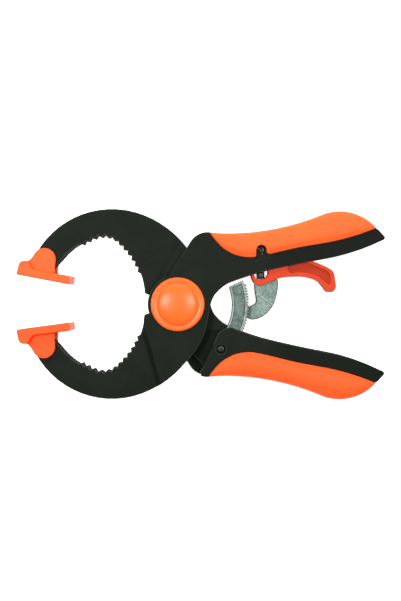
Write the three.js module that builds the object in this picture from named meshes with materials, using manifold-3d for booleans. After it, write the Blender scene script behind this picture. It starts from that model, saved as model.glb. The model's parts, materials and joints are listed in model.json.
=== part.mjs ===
// Ratchet spring clamp, millimetres.
// The clamp lies flat: the pivot runs along Z, the handles point to +X and the jaws to -X.
// The origin is the centre of the rear cap's flat face, on the pivot axis.
// The arms are drawn with the pivot at the origin and z = 0 halfway through the clamp;
// the last group lifts everything onto the surface.
import * as THREE from "three";
import { mergeVertices } from "three/addons/utils/BufferGeometryUtils.js";
import Module from "manifold-3d";

const wasm = await Module();
wasm.setup();

// Overall thickness and layers, measured from the middle plane.
const ARM_HALF = 8.6; // handle shells and outer faces of the pivot plates
const CUSHION = 4.4; // how far pads, grips and caps stand out past the shells
const HALF_THICK = ARM_HALF + CUSHION;
const JAW_HALF = 5.5;
const GAP = 0.3; // between pieces that touch
const PLATE_GAP = 0.15; // from each pivot plate to the middle plane

// Pivot.
const BOSS_R = 17.9;
const BOLT_R = 4;
const BOLT_HEAD_R = 6.2;
const BOLT_HEAD_H = 2.2;
const SLEEVE_WALL = 1.2;
const WASHER_R = 9.1;
const WASHER_H = 0.8;
const CAP_R = 16;
const CAP_DOME_R = 12.2;
const CAP_FLANGE = 1.6;
const CAP_WALL = 1.7;
const CLIP_R = 14; // middle radius of the caps' snap legs
const CLIP_T = 1.3;
const CLIP_DEPTH = 2.8;
const CLIP_HALF_ANGLE = 12;

// Main torsion spring.
const SPRING_R = 8.6;
const SPRING_WIRE = 2;
const SPRING_TURNS = 3.5;
const SPRING_PITCH = SPRING_WIRE + 0.35;
const SPRING_LEG = 9;

// Travel of the arms about the pivot, in degrees.
const OPEN_TRAVEL = 9.6;
const CLOSE_TRAVEL = 19.2;
const LAP_CLEAR = 0.8;
const TONGUE_HALF = 4.4; // the jaw's thinner tongue beside the other arm's plate
const LAP_SLOPE = 4; // width of the slope from the tongue up to the jaw
const JAW_SLOPE = 3; // width of the slope from the plate down to the jaw

// Jaw outline.
const JAW_MAIN = { x: -39.5, y: 4.9 };
const JAW_ROOT = { x: -42.2, y: -2.4, r: 59.9 };
const PAD_PIN = { x: -79.2, y: 26.7 };
const TOOTH_COUNT = 12;
const TOOTH_DEPTH = 1.7;

// Handles.
const GRIP_START = 18.9;
const GRIP_END = 118.3;
const DRAWN_END = 118.3; // grip end that the handle's outlines are drawn for
const STRETCH_FROM = 62; // a longer or shorter handle stretches past here
const GRIP_WEB = 3.3;
const SHELL_WALL = 2.1;
const SHELL_ROOF = 2.6;
const TAIL_BLOCK = 8.3; // solid part of the shell before the grip's end
const RIB = 1.8;
const RIB_PITCH = 5;
const GRIP_RIM = 0.8; // how far the grip stands proud where it meets the shell

// Rack, all radii from the pivot.
const TOOTH_STEP = 2.4; // degrees for one tooth
const RACK_IN = 32.6;
const RACK_TIP = 43.1;
const RACK_ROOT = 41.7;
const RACK_HALF = 3.6;
const RACK_TOP_ANGLE = 19.3;
const TANG_IN = 34.6;
const TANG_OUT = 41;
const TANG_ANGLE = -33;
const RACK_LOW_ANGLE = -51;
const RACK_RIM = 1.3;
const RACK_RECESS = 0.8;
const RACK_SCREW = { x: 26, y: -26.7 };
const SCREW_R = 1.5;
const SCREW_HEAD_R = 2.3;
const SCREW_HEAD_H = 1.2;
const NUT_R = 3;
const NUT_H = 2;

// Latch: rivet, pawl, cross pin and lever.
const LATCH = { x: 49.6, y: 32.6 };
const CROSS = { x: 49.8, y: 17.7 };
const LATCH_R = 1.9;
const LATCH_BOSS_R = LATCH_R + 1;
const LATCH_BOSS_H = ARM_HALF + 0.7;
const CROSS_R = 1.3;
const CROSS_HEAD_R = 2.15;
const PAWL_HALF = 3.4;
const PAWL_TEETH = 5;
const PAWL_FIRST = -1.4;
const RACK_STEPS_UP = Math.floor((RACK_TOP_ANGLE - 1.4 - PAWL_FIRST) / TOOTH_STEP);
const RACK_FIRST = PAWL_FIRST + RACK_STEPS_UP * TOOTH_STEP; // locking face of the rack's top tooth
const RACK_TEETH = Math.floor((RACK_FIRST - TANG_ANGLE) / TOOTH_STEP);
const MESH_RADIAL = 0.3;
const MESH_ANGLE = 0.17; // play between the locking faces, degrees
const CHEEK_IN = PAWL_HALF + 0.7;
const CHEEK_OUT = CHEEK_IN + 2.05;
const LATCH_SPRING_R = 3.3;
const LATCH_SPRING_WIRE = 0.8;
const LATCH_SPRING_TURNS = 2;
const LATCH_SPRING_PITCH = 1.1;

// Swivel pads.
const PAD_FACE = 12.4; // from the pin to the clamping face
const PAD_BASE = 5;
const PAD_LEFT = -14.2;
const PAD_RIGHT = 17;
const EAR_T = 2.2;
const STUB_R = 2.4;
const UPPER_PAD_TILT = -10.2;
const LOWER_PAD_TILT = -8;

const ARC_STEP = 6; // degrees per facet of a round outline
const TOP = ARM_HALF + 4; // past every arm face, for cuts
const REACH = 120; // past every arm outline, for cuts

const NYLON = new THREE.MeshStandardMaterial({ color: 0x23261f, roughness: 0.6, metalness: 0 });
const ORANGE = new THREE.MeshStandardMaterial({ color: 0xff6a2a, roughness: 0.5, metalness: 0 });
const GLOSS_ORANGE = new THREE.MeshStandardMaterial({ color: 0xff6c1f, roughness: 0.3, metalness: 0 });
const RED_ORANGE = new THREE.MeshStandardMaterial({ color: 0xf85a30, roughness: 0.45, metalness: 0 });
const ZINC = new THREE.MeshStandardMaterial({ color: 0x8f9894, roughness: 0.5, metalness: 0.9 });
const STEEL = new THREE.MeshStandardMaterial({ color: 0x9a9da0, roughness: 0.35, metalness: 1 });
const BLACK_STEEL = new THREE.MeshStandardMaterial({ color: 0x2a2c2d, roughness: 0.4, metalness: 0.8 });

const rad = THREE.MathUtils.degToRad;
const at = (x, y) => new THREE.Vector2(x, y);
const polar = (r, degrees, x = 0, y = 0) => at(x + r * Math.cos(rad(degrees)), y + r * Math.sin(rad(degrees)));
const flip = (points) => points.map((p) => at(p.x, -p.y)).reverse();

// Points along an arc, both ends included.
function arc(r, from, to, x = 0, y = 0) {
  const count = Math.max(1, Math.ceil(Math.abs(to - from) / ARC_STEP));
  return Array.from({ length: count + 1 }, (_, i) => polar(r, from + ((to - from) * i) / count, x, y));
}

// Points along a smooth curve through the given [x, y] pairs.
function smooth(pairs, count) {
  return new THREE.SplineCurve(pairs.map(([x, y]) => at(x, y))).getSpacedPoints(count);
}

// Height of a curve's points at x, for curves that run along x.
function heightOn(points, x) {
  const found = points.findIndex((p) => p.x >= x);
  const i = found < 0 ? points.length - 1 : Math.max(1, found);
  const [a, b] = [points[i - 1], points[i]];
  return a.y + ((b.y - a.y) * (x - a.x)) / (b.x - a.x);
}

function toSolid(geometry) {
  const bare = geometry.index ? geometry.toNonIndexed() : geometry.clone();
  bare.deleteAttribute("normal");
  bare.deleteAttribute("uv");
  const merged = mergeVertices(bare, 1e-4);
  return new wasm.Manifold(
    new wasm.Mesh({
      numProp: 3,
      vertProperties: merged.attributes.position.array,
      triVerts: new Uint32Array(merged.index.array),
    }),
  );
}

function toGeometry(solid) {
  const { vertProperties, triVerts, numProp } = solid.getMesh();
  const positions = new Float32Array((vertProperties.length / numProp) * 3);
  for (let i = 0; i < positions.length / 3; i++) {
    positions.set(vertProperties.subarray(i * numProp, i * numProp + 3), i * 3);
  }
  const geometry = new THREE.BufferGeometry();
  geometry.setAttribute("position", new THREE.BufferAttribute(positions, 3));
  geometry.setIndex(new THREE.BufferAttribute(new Uint32Array(triVerts), 1));
  return geometry;
}

// A flat outline given thickness from z0 to z1.
function prism(points, z0, z1) {
  const geometry = new THREE.ExtrudeGeometry(new THREE.Shape(points), { depth: z1 - z0, bevelEnabled: false });
  return toSolid(geometry.translate(0, 0, z0));
}

function disc(r, z0, z1, x = 0, y = 0, sides = 32) {
  const geometry = new THREE.CylinderGeometry(r, r, z1 - z0, sides);
  return toSolid(geometry.rotateX(Math.PI / 2).translate(x, y, (z0 + z1) / 2));
}

// A profile of [radius, z] pairs turned about Z.
function turned(pairs, sides = 40) {
  const geometry = new THREE.LatheGeometry(pairs.map(([r, z]) => at(r, z)), sides);
  return toSolid(geometry.rotateX(Math.PI / 2));
}

function sector(r0, r1, a0, a1, z0, z1) {
  return prism([...arc(r0, a0, a1), ...arc(r1, a1, a0)], z0, z1);
}

const join = (...solids) => solids.reduce((a, b) => a.add(b));
const cut = (solid, ...tools) => tools.reduce((a, b) => a.subtract(b), solid);

// Turns a solid over about the X axis: one arm becomes the other.
const turnOver = (solid) => toSolid(toGeometry(solid).rotateX(Math.PI));

function named(name, solid, material) {
  const mesh = new THREE.Mesh(toGeometry(solid), material);
  mesh.name = name;
  return mesh;
}

// ---------------------------------------------------------------- outlines of one arm

// Places past STRETCH_FROM move with the grip's end.
const STRETCH = (GRIP_END - STRETCH_FROM) / (DRAWN_END - STRETCH_FROM);
const placed = (x) => (x < STRETCH_FROM ? x : STRETCH_FROM + (x - STRETCH_FROM) * STRETCH);
const drawn = (x) => (x < STRETCH_FROM ? x : STRETCH_FROM + (x - STRETCH_FROM) / STRETCH);

// The handle's back: a long hollow for the palm, then the swell near the tail.
const palm = (x) => 193.8 - Math.sqrt(150.9 ** 2 - (x - 28.2) ** 2);
const swell = (x) => 29.5 + Math.sqrt(27.1 ** 2 - (x - 96.8) ** 2);
const handleBack = (place) => {
  const x = drawn(place);
  if (x < 85) return palm(x);
  return THREE.MathUtils.lerp(palm(Math.min(x, 91)), swell(Math.max(x, 85)), THREE.MathUtils.smoothstep(x, 85, 91));
};

// The handle's inner edge, from the crotch between the handles to the tail.
const INNER_EDGE = smooth(
  [
    [19.7, 0],
    [20.9, 3.7],
    [23.3, 7.2],
    [28.7, 11.9],
    [38, 15.8],
    [53.2, 20.5],
    [74.8, 25.4],
    [96.4, 29.6],
    [110.8, 34],
    [123.2, 39.4],
  ].map(([x, y]) => [placed(x), y]),
  34,
);

// The line where the grip ends on the shell's face.
const GRIP_EDGE = smooth(
  [
    [GRIP_START, 43.1],
    [20.8, 40.1],
    [26.2, 34.2],
    [33.3, 30],
    [41.5, 28.3],
    [50, 29.2],
    [71.2, 34.1],
    [92.8, 38.1],
    [107, 42],
    [DRAWN_END, 46.2],
  ].map(([x, y]) => [placed(x), y]),
  60,
);

// Back of the black shell under the grip: it comes flush with the grip at both ends.
const shellBack = (x) => {
  const { smoothstep } = THREE.MathUtils;
  return handleBack(x) - GRIP_WEB * smoothstep(x, GRIP_START, 25) * smoothstep(GRIP_END - x, 0, 8);
};

const ROOT_CORNER = { x: 17.55, y: 31.53, r: 11.73 };
const CROTCH = at(5.4, 34.2);

// Back edge of the shell from the root corner to the tail's tip, raised by a clearance.
function backEdge(clear = 0) {
  const count = 40;
  const run = Array.from({ length: count + 1 }, (_, i) => GRIP_START + ((GRIP_END - GRIP_START) * i) / count);
  return [...run.map((x) => at(x, shellBack(x) + clear)), at(GRIP_END + 1.3, 45.3 + clear), at(GRIP_END + 5.3, 40.9 + clear)];
}

// Edge of the handle's full-thickness part, where the other arm's plate slides past.
const SHOULDER = [
  [31.4, 13.5],
  [27, 14.9],
  [24.3, 17.2],
  [22.9, 20.4],
  [21.4, 23.9],
  [14.8, 38.4],
  [13.6, 40.6],
].map(([x, y]) => at(x, y));

function handleOutline() {
  const inner = INNER_EDGE.filter((p) => p.x > SHOULDER[0].x + 1).reverse();
  const corner = arc(ROOT_CORNER.r, 106, 90, ROOT_CORNER.x, ROOT_CORNER.y);
  return [...SHOULDER, ...corner, ...backEdge(), ...inner].reverse();
}

// Pivot plate with the root of the handle, on one side of the middle plane.
function plateOutline() {
  const rootArc = flip(arc(JAW_ROOT.r, 37.6, 57.2, JAW_ROOT.x, JAW_ROOT.y)).reverse();
  const plateEdge = smooth(
    [
      [5.4, -34.2],
      [8.2, -31.2],
      [12.3, -25.2],
      [16, -17.7],
      [18.2, -8],
      [19.7, 0],
    ],
    14,
  );
  const inner = INNER_EDGE.filter((p) => p.x < 36);
  return [
    CROTCH,
    polar(BOSS_R, 109.5),
    ...arc(BOSS_R, 112, 197),
    at(-19.8, -6.4),
    at(-20.3, -9.5),
    ...rootArc.reverse(),
    ...plateEdge.slice(0, -1),
    ...inner,
    ...backEdge()
      .filter((p) => p.x < 36)
      .reverse(),
    ...arc(ROOT_CORNER.r, 90, 150, ROOT_CORNER.x, ROOT_CORNER.y),
  ];
}

// The row of grip teeth runs along this line, which passes through their tips.
const TOOTH_LINE = new THREE.SplineCurve(
  [
    [-56.8, 35.4],
    [-50, 38.9],
    [-44.6, 40],
    [-39, 38.4],
    [-33.3, 33.1],
    [-28.5, 27.1],
    [-24.4, 19.4],
  ].map(([x, y]) => at(x, y)),
);

function toothRow() {
  const steps = 2 * (TOOTH_COUNT - 1);
  return Array.from({ length: steps + 1 }, (_, i) => {
    const tip = TOOTH_LINE.getPointAt(i / steps);
    if (i % 2 === 0) return tip;
    const along = TOOTH_LINE.getTangentAt(i / steps);
    return at(tip.x - along.y * TOOTH_DEPTH, tip.y + along.x * TOOTH_DEPTH);
  });
}

// Jaw, drawn above the X axis. Its main arc is tangent to the root arc and to the rounded tip.
const JAW_JOIN = THREE.MathUtils.radToDeg(Math.atan2(JAW_MAIN.y - JAW_ROOT.y, JAW_MAIN.x - JAW_ROOT.x));
const JAW_TIP = THREE.MathUtils.radToDeg(Math.atan2(PAD_PIN.y - JAW_MAIN.y, PAD_PIN.x - JAW_MAIN.x));
const JAW_MAIN_R = JAW_ROOT.r - Math.hypot(JAW_MAIN.x - JAW_ROOT.x, JAW_MAIN.y - JAW_ROOT.y);
const TIP_R = JAW_MAIN_R - Math.hypot(PAD_PIN.x - JAW_MAIN.x, PAD_PIN.y - JAW_MAIN.y);

function jawOutline() {
  return [
    at(0, 0),
    ...arc(JAW_ROOT.r, 37.6, JAW_JOIN, JAW_ROOT.x, JAW_ROOT.y),
    ...arc(JAW_MAIN_R, JAW_JOIN, JAW_TIP, JAW_MAIN.x, JAW_MAIN.y).slice(1),
    ...arc(TIP_R, JAW_TIP, 315, PAD_PIN.x, PAD_PIN.y).slice(1),
    ...smooth(
      [
        [-74.1, 22.2],
        [-70, 26.6],
        [-66.6, 30.5],
        [-62.3, 34.1],
        [-58.9, 36.2],
      ],
      8,
    ).slice(1),
    ...toothRow(),
    ...smooth(
      [
        [-22.3, 18.2],
        [-21.1, 14.4],
        [-20.2, 10.2],
        [-19.8, 6.4],
      ],
      6,
    ),
    at(-16, 5.2),
  ];
}

// A wedge beside the line from a to b: h0 high at the line and h1 high at run to its left, down to z0.
function wedge(a, b, run, z0, h0, h1) {
  const length = a.distanceTo(b) + 40;
  const section = new THREE.Shape([at(0, z0), at(0, h0), at(run, h1), at(run, z0)].reverse());
  const geometry = new THREE.ExtrudeGeometry(section, { depth: length, bevelEnabled: false });
  const angle = b.clone().sub(a).angle();
  geometry.translate(0, 0, -20).applyMatrix4(new THREE.Matrix4().set(0, 0, 1, 0, 1, 0, 0, 0, 0, 1, 0, 0, 0, 0, 0, 1));
  return toSolid(geometry.rotateZ(angle).translate(a.x, a.y, 0));
}

// Half plane on the jaw's side of the plate's straight edge, turned by an angle and moved off by a gap.
function lapSide(degrees, gap, z0, z1) {
  const from = polar(BOSS_R, 109.5);
  const along = CROTCH.clone().sub(from).normalize();
  const off = at(-along.y, along.x).multiplyScalar(gap);
  const corner = (u, v) => at(from.x + along.x * u - along.y * v, from.y + along.y * u + along.x * v).add(off);
  const square = [corner(-REACH, 0), corner(REACH, 0), corner(REACH, REACH), corner(-REACH, REACH)];
  return prism(square.map((p) => p.rotateAround(at(0, 0), rad(degrees))), z0, z1);
}

// ---------------------------------------------------------------- arms

const LAP_ANGLE = OPEN_TRAVEL + LAP_CLEAR;

function clipSlots(grow, z0, z1) {
  const half = CLIP_HALF_ANGLE + grow * 4;
  const rings = [30, 150, 270].map((a) =>
    sector(CLIP_R - CLIP_T / 2 - grow, CLIP_R + CLIP_T / 2 + grow, a - half, a + half, z0, z1),
  );
  return join(...rings);
}

const SPRING_POCKET_R = SPRING_R + SPRING_WIRE / 2 + 0.5;
const SPRING_HALF = (SPRING_TURNS * SPRING_PITCH + SPRING_WIRE) / 2;
const SLEEVE_R = BOLT_R + GAP + SLEEVE_WALL;
const WASHER_SEAT = ARM_HALF - WASHER_H - 0.4;

// A leg of the main spring, in a slot in the plate's inner face.
const LEG_ANGLE = -90;
function legSlot() {
  const start = polar(SPRING_R, LEG_ANGLE);
  const along = polar(1, LEG_ANGLE + 90);
  const side = polar(SPRING_WIRE / 2 + 0.4, LEG_ANGLE);
  const end = start.clone().addScaledVector(along, SPRING_LEG + 1.6);
  const back = start.clone().addScaledVector(along, -2);
  const corners = [back.clone().add(side), end.clone().add(side), end.clone().sub(side), back.clone().sub(side)];
  return prism(corners.reverse(), -1, SPRING_HALF + 0.3);
}

// The clamp's hollow handle: open towards the other handle, with cross ribs near the tail.
function channel(wallAngle) {
  const count = 24;
  const start = 34;
  const end = GRIP_END - TAIL_BLOCK;
  const run = Array.from({ length: count + 1 }, (_, i) => start + ((end - start) * i) / count);
  const roof = run.map((x) => at(x, shellBack(x) - SHELL_ROOF)).reverse();
  const floor = run.map((x) => at(x, heightOn(INNER_EDGE, x) - 2));
  const hollow = prism([...floor, ...roof, polar(RACK_TIP + 0.7, wallAngle)], SHELL_WALL - ARM_HALF, ARM_HALF - SHELL_WALL);
  const ribs = [end - 2 * RIB_PITCH + 1, end - RIB_PITCH + 1].map((x) =>
    prism([at(x, 20), at(x + RIB, 20), at(x + RIB, 60), at(x, 60)], -ARM_HALF, ARM_HALF),
  );
  return cut(hollow, ...ribs);
}

// What both arms share: the jaw is drawn on the far side of the pivot from the handle.
function armBlank() {
  const jaw = prism(flip(jawOutline()), -JAW_HALF, JAW_HALF);
  const beyondLap = turnOver(lapSide(LAP_ANGLE, 0, -TOP, TOP));
  const beyondEdge = turnOver(lapSide(0, GAP, -TOP, TOP));
  const low = prism([at(-90, -90), at(60, -90), at(60, 60), at(-90, 60)], -TOP, PLATE_GAP);
  const tongueOff = prism([at(-90, -90), at(60, -90), at(60, 60), at(-90, 60)], -TOP, -TONGUE_HALF);
  const lowOff = cut(low, beyondEdge);
  const lapOff = cut(tongueOff, beyondLap);
  const boss = disc(BOSS_R + GAP + 0.1, -TOP, PLATE_GAP);
  const lapFrom = polar(BOSS_R, 109.5).rotateAround(at(0, 0), rad(LAP_ANGLE));
  const lapTo = CROTCH.clone().rotateAround(at(0, 0), rad(LAP_ANGLE));
  const lapSlope = turnOver(wedge(lapFrom, lapTo, LAP_SLOPE, TOP, TONGUE_HALF, JAW_HALF));
  const clearJaw = cut(jaw, lowOff, lapOff, lapSlope, boss);
  const stepTop = at(-20.3, -9.5);
  const stepEnd = at(-9.7, -47.6);
  const jawStep = wedge(stepEnd, stepTop, JAW_SLOPE, PLATE_GAP, ARM_HALF, JAW_HALF);
  const step = jawStep.intersect(prism(flip(jawOutline()), 0, ARM_HALF));

  const plate = prism(plateOutline(), PLATE_GAP, ARM_HALF);
  const underLap = lapSide(-LAP_ANGLE, 0, 0, TONGUE_HALF + GAP);
  const outsideBoss = cut(underLap, disc(BOSS_R, -TOP, TOP));
  const handle = prism(handleOutline(), -ARM_HALF, ARM_HALF);
  return join(cut(plate, outsideBoss), clearJaw, step, handle);
}

// Bores, pockets and slots at the pivot.
function pivotCuts() {
  return [
    disc(SLEEVE_R + GAP, -1, TOP),
    disc(SPRING_POCKET_R, -1, SPRING_HALF + 0.3),
    disc(WASHER_R + GAP, WASHER_SEAT, TOP),
    clipSlots(GAP, ARM_HALF - CLIP_DEPTH, TOP),
    legSlot(),
  ];
}

const tipBore = (y) => disc(STUB_R + GAP, -TOP, TOP, PAD_PIN.x, y, 24);

// Bosses for the latch rivet, standing up through a notch in the grip.
function latchNotch(grow, z0, z1) {
  const r = LATCH_BOSS_R + grow;
  const stem = [
    at(LATCH.x - r, LATCH.y),
    at(LATCH.x - r, 26),
    at(55.3 + grow, 27.6),
    at(54.9 + grow, 29.8),
    at(LATCH.x + r, 31.2 + grow),
    at(LATCH.x + r, LATCH.y),
  ];
  return join(prism(stem.reverse(), z0, z1), disc(r, z0, z1, LATCH.x, LATCH.y, 24));
}

function frontArm() {
  const sweep = sector(RACK_IN - 0.7, RACK_TIP + 0.7, 0, RACK_TOP_ANGLE + CLOSE_TRAVEL + 2, -RACK_HALF - 0.4, RACK_HALF + 0.4);
  const bosses = join(latchNotch(0, -LATCH_BOSS_H, -ARM_HALF + 1), latchNotch(0, ARM_HALF - 1, LATCH_BOSS_H));
  const solid = join(armBlank(), bosses);
  return cut(
    solid,
    ...pivotCuts(),
    channel(RACK_TOP_ANGLE + CLOSE_TRAVEL + 2),
    sweep,
    tipBore(-PAD_PIN.y),
    disc(LATCH_R + GAP, -TOP, TOP, LATCH.x, LATCH.y, 24),
  );
}

function rearArm() {
  const blank = cut(armBlank(), ...pivotCuts(), channel(RACK_TOP_ANGLE + CLOSE_TRAVEL + 2), tipBore(-PAD_PIN.y));
  const screwX = RACK_SCREW.x;
  const screwY = RACK_SCREW.y;
  return cut(
    turnOver(blank),
    rackPocket(),
    disc(SCREW_R + GAP, -TOP, TOP, screwX, screwY, 20),
    disc(SCREW_HEAD_R + 0.5, ARM_HALF - SCREW_HEAD_H - 0.5, TOP, screwX, screwY, 20),
    disc(NUT_R + GAP, -TOP, -ARM_HALF + NUT_H + 0.3, screwX, screwY, 6),
  );
}

// ---------------------------------------------------------------- rack and pawl

// Ratchet teeth as points from the top down: each tooth has a locking face along the radius
// and a ramp on its upper side.
function ratchet(tip, root, first, count) {
  const points = [];
  for (let i = 0; i < count; i++) {
    points.push(polar(tip, first - i * TOOTH_STEP));
    points.push(polar(root, first - i * TOOTH_STEP));
  }
  return points;
}

function rackOutline(grow) {
  const teeth = grow
    ? arc(RACK_TIP + grow, RACK_TOP_ANGLE, TANG_ANGLE)
    : ratchet(RACK_TIP, RACK_ROOT, RACK_FIRST, RACK_TEETH);
  return [
    polar(RACK_IN - grow, RACK_TOP_ANGLE - 1.2),
    ...arc(RACK_IN - grow, RACK_TOP_ANGLE - 1.2, TANG_ANGLE + 6),
    polar(TANG_IN - grow, TANG_ANGLE),
    ...arc(TANG_IN - grow, TANG_ANGLE, RACK_LOW_ANGLE - grow).slice(1),
    ...arc(TANG_OUT + grow, RACK_LOW_ANGLE - grow, TANG_ANGLE),
    ...teeth.reverse(),
    polar(RACK_ROOT, RACK_TOP_ANGLE - 0.9),
    polar(RACK_ROOT - 0.8, RACK_TOP_ANGLE),
    polar(RACK_IN + 0.8, RACK_TOP_ANGLE),
  ].slice(1);
}

function rack() {
  const body = prism(rackOutline(0), -RACK_HALF, RACK_HALF);
  const recess = (z0, z1) =>
    sector(RACK_IN + RACK_RIM, RACK_ROOT - RACK_RIM, TANG_ANGLE + 8, RACK_TOP_ANGLE - 2.2, z0, z1);
  return cut(
    body,
    recess(RACK_HALF - RACK_RECESS, TOP),
    recess(-TOP, RACK_RECESS - RACK_HALF),
    disc(SCREW_R + GAP, -TOP, TOP, RACK_SCREW.x, RACK_SCREW.y, 20),
  );
}

function rackPocket() {
  const half = RACK_HALF + GAP;
  return join(
    prism(rackOutline(GAP), -half, half),
    sector(RACK_IN - GAP, RACK_TIP + GAP, TANG_ANGLE + 8, -5, -half, half),
  );
}

function pawl() {
  const row = ratchet(RACK_TIP + MESH_RADIAL, RACK_ROOT + MESH_RADIAL, PAWL_FIRST - MESH_ANGLE, PAWL_TEETH);
  const hook = smooth(
    [
      [46.9, 14.6],
      [46, 11.2],
      [46.8, 7],
      [47.1, 3.8],
      [46.4, 1.5],
      [44.9, 0.3],
    ],
    8,
  );
  const toe = polar(RACK_TIP + 2.1, PAWL_FIRST - PAWL_TEETH * TOOTH_STEP + 2);
  const back = smooth(
    [
      [toe.x, toe.y],
      [47.2, -8.2],
      [51.1, -5.7],
      [54.4, -2.7],
      [56.6, 0.2],
      [58.5, 3.8],
      [59.7, 7.1],
      [60.1, 10.3],
      [59.8, 15],
    ],
    12,
  );
  const neck = CROSS_HEAD_R + 0.15;
  const outline = [
    ...arc(4.2, 180, 0, LATCH.x, LATCH.y).reverse(),
    at(LATCH.x - neck, LATCH.y - 6),
    at(CROSS.x - neck, 15.6),
    ...hook,
    ...row,
    ...back,
    at(57.4, 16.4),
    at(54.8, 15),
    at(CROSS.x + neck, 15),
    at(LATCH.x + neck, LATCH.y - 6),
  ];
  const body = prism(outline, -PAWL_HALF, PAWL_HALF);
  const springSeat = disc(LATCH_SPRING_R + 1.6, -TOP, -0.8, LATCH.x, LATCH.y, 24);
  return cut(
    body,
    springSeat,
    disc(LATCH_R + GAP, -TOP, TOP, LATCH.x, LATCH.y, 24),
    disc(CROSS_R + 0.2, -TOP, TOP, CROSS.x, CROSS.y, 20),
  );
}

// ---------------------------------------------------------------- lever

function leverOutline() {
  const under = smooth(
    [
      [43.9, 17.6],
      [44.8, 14.9],
      [46.2, 12.9],
      [49.2, 11.5],
      [53.8, 13.3],
      [62.5, 16.4],
      [70.5, 17.2],
      [76.8, 17],
      [83.7, 14.9],
      [87.7, 10.6],
      [89.3, 8.5],
      [91.8, 7.5],
      [94.2, 9.3],
      [94.8, 11.8],
      [94.1, 16.3],
      [93.2, 20],
      [89.4, 22.8],
      [80.2, 26.6],
      [68, 31.4],
      [57, 35.4],
    ],
    60,
  );
  return [...under, ...arc(4.6, 55, 185, LATCH.x, LATCH.y)];
}

function lever() {
  const body = prism(leverOutline(), -CHEEK_OUT, CHEEK_OUT);
  const window = prism(
    [at(45.8, 24), at(45.8, 17.6), at(46.7, 15.7), at(48.2, 15.15), at(51.4, 15.15), at(54.2, 18.3), at(54.2, 24)].reverse(),
    -TOP,
    TOP,
  );
  const fork = prism([at(40, 0), at(62.5, 0), at(65, 20), at(65, 45), at(40, 45)], -CHEEK_IN, CHEEK_IN);
  const panelShape = smooth(
    [
      [66.4, 29.4],
      [66.3, 19.9],
      [73.4, 19.7],
      [82.6, 17.9],
      [90.9, 12.2],
      [91.1, 17.7],
      [89.4, 20.3],
      [80.3, 24.2],
      [69, 28.6],
    ],
    30,
  ).slice(1);
  const panel = (z0, z1) => prism(panelShape, z0, z1);
  return cut(
    body,
    window,
    fork,
    panel(CHEEK_OUT - 1.2, TOP),
    panel(-TOP, 1.2 - CHEEK_OUT),
    disc(LATCH_R + GAP, -TOP, TOP, LATCH.x, LATCH.y, 24),
  );
}

// ---------------------------------------------------------------- grips

// The grip as rings of matching points, from one side face to the other.
function gripPillow() {
  const span = 34;
  const zs = [
    [ARM_HALF + GRIP_RIM, 0],
    [ARM_HALF + 2.2, 0.7],
    [HALF_THICK - 1, 2.2],
    [HALF_THICK, 5],
  ];
  const levels = [...zs.map(([z, inset]) => [-z, inset]).reverse(), ...zs];
  const ring = (z, inset) => {
    const shut = (t) => Math.sqrt(Math.max(0, Math.sin(Math.PI * t)));
    const points = [];
    const place = (t) => GRIP_START + (GRIP_END - GRIP_START) * t + inset * (1 - 2 * t);
    for (let i = 0; i <= span; i++) {
      const t = i / span;
      const x = place(t);
      const low = heightOn(GRIP_EDGE, x);
      const high = handleBack(x);
      const give = Math.min(inset * shut(t), (high - low) * 0.45);
      points.push([x, low + give, high - give, z]);
    }
    return points;
  };
  const rings = levels.map(([z, inset]) => ring(z, inset));
  const positions = [];
  const put = (...corners) => corners.forEach((c) => positions.push(...c));
  const lowAt = (r, i) => [rings[r][i][0], rings[r][i][1], rings[r][i][3]];
  const highAt = (r, i) => [rings[r][i][0], rings[r][i][2], rings[r][i][3]];
  const quad = (a, b, c, d) => put(a, b, c, a, c, d);
  for (let i = 0; i < span; i++) {
    const last = rings.length - 1;
    quad(lowAt(0, i), highAt(0, i), highAt(0, i + 1), lowAt(0, i + 1));
    quad(lowAt(last, i), lowAt(last, i + 1), highAt(last, i + 1), highAt(last, i));
    for (let r = 0; r < last; r++) {
      quad(lowAt(r, i), lowAt(r, i + 1), lowAt(r + 1, i + 1), lowAt(r + 1, i));
      quad(highAt(r, i), highAt(r + 1, i), highAt(r + 1, i + 1), highAt(r, i + 1));
    }
  }
  for (let r = 0; r < rings.length - 1; r++) {
    quad(lowAt(r, 0), lowAt(r + 1, 0), highAt(r + 1, 0), highAt(r, 0));
    quad(lowAt(r, span), highAt(r, span), highAt(r + 1, span), lowAt(r + 1, span));
  }
  const geometry = new THREE.BufferGeometry();
  geometry.setAttribute("position", new THREE.Float32BufferAttribute(positions, 3));
  return toSolid(geometry);
}

function grip() {
  const shell = [at(GRIP_START - 3, 43.6), ...backEdge(GAP), at(GRIP_END + 6, 20), at(GRIP_START - 3, 20)].reverse();
  return cut(gripPillow(), prism(shell, -ARM_HALF - GAP, ARM_HALF + GAP));
}

// ---------------------------------------------------------------- caps, bolt, springs

const CAP_SEAT = ARM_HALF + GAP;
const BOLT_END = ARM_HALF + GAP + BOLT_HEAD_H - 0.1;

function cap(profile) {
  const legs = clipSlots(0, ARM_HALF - CLIP_DEPTH + GAP, CAP_SEAT + 0.5);
  return join(turned(profile, 48), legs);
}

function frontCap() {
  const edge = CAP_SEAT + CAP_FLANGE;
  const roof = HALF_THICK - CAP_WALL;
  return cap([
    [0, roof],
    [CAP_DOME_R - 4, roof],
    [CAP_DOME_R - CAP_WALL, CAP_SEAT],
    [CAP_R, CAP_SEAT],
    [CAP_R, edge - 0.7],
    [CAP_R - 0.7, edge],
    [CAP_DOME_R + 0.5, edge],
    [CAP_DOME_R - 1.2, edge + 1.2],
    [8, HALF_THICK - 0.5],
    [4.5, HALF_THICK - 0.1],
    [0, HALF_THICK],
  ]);
}

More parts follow.
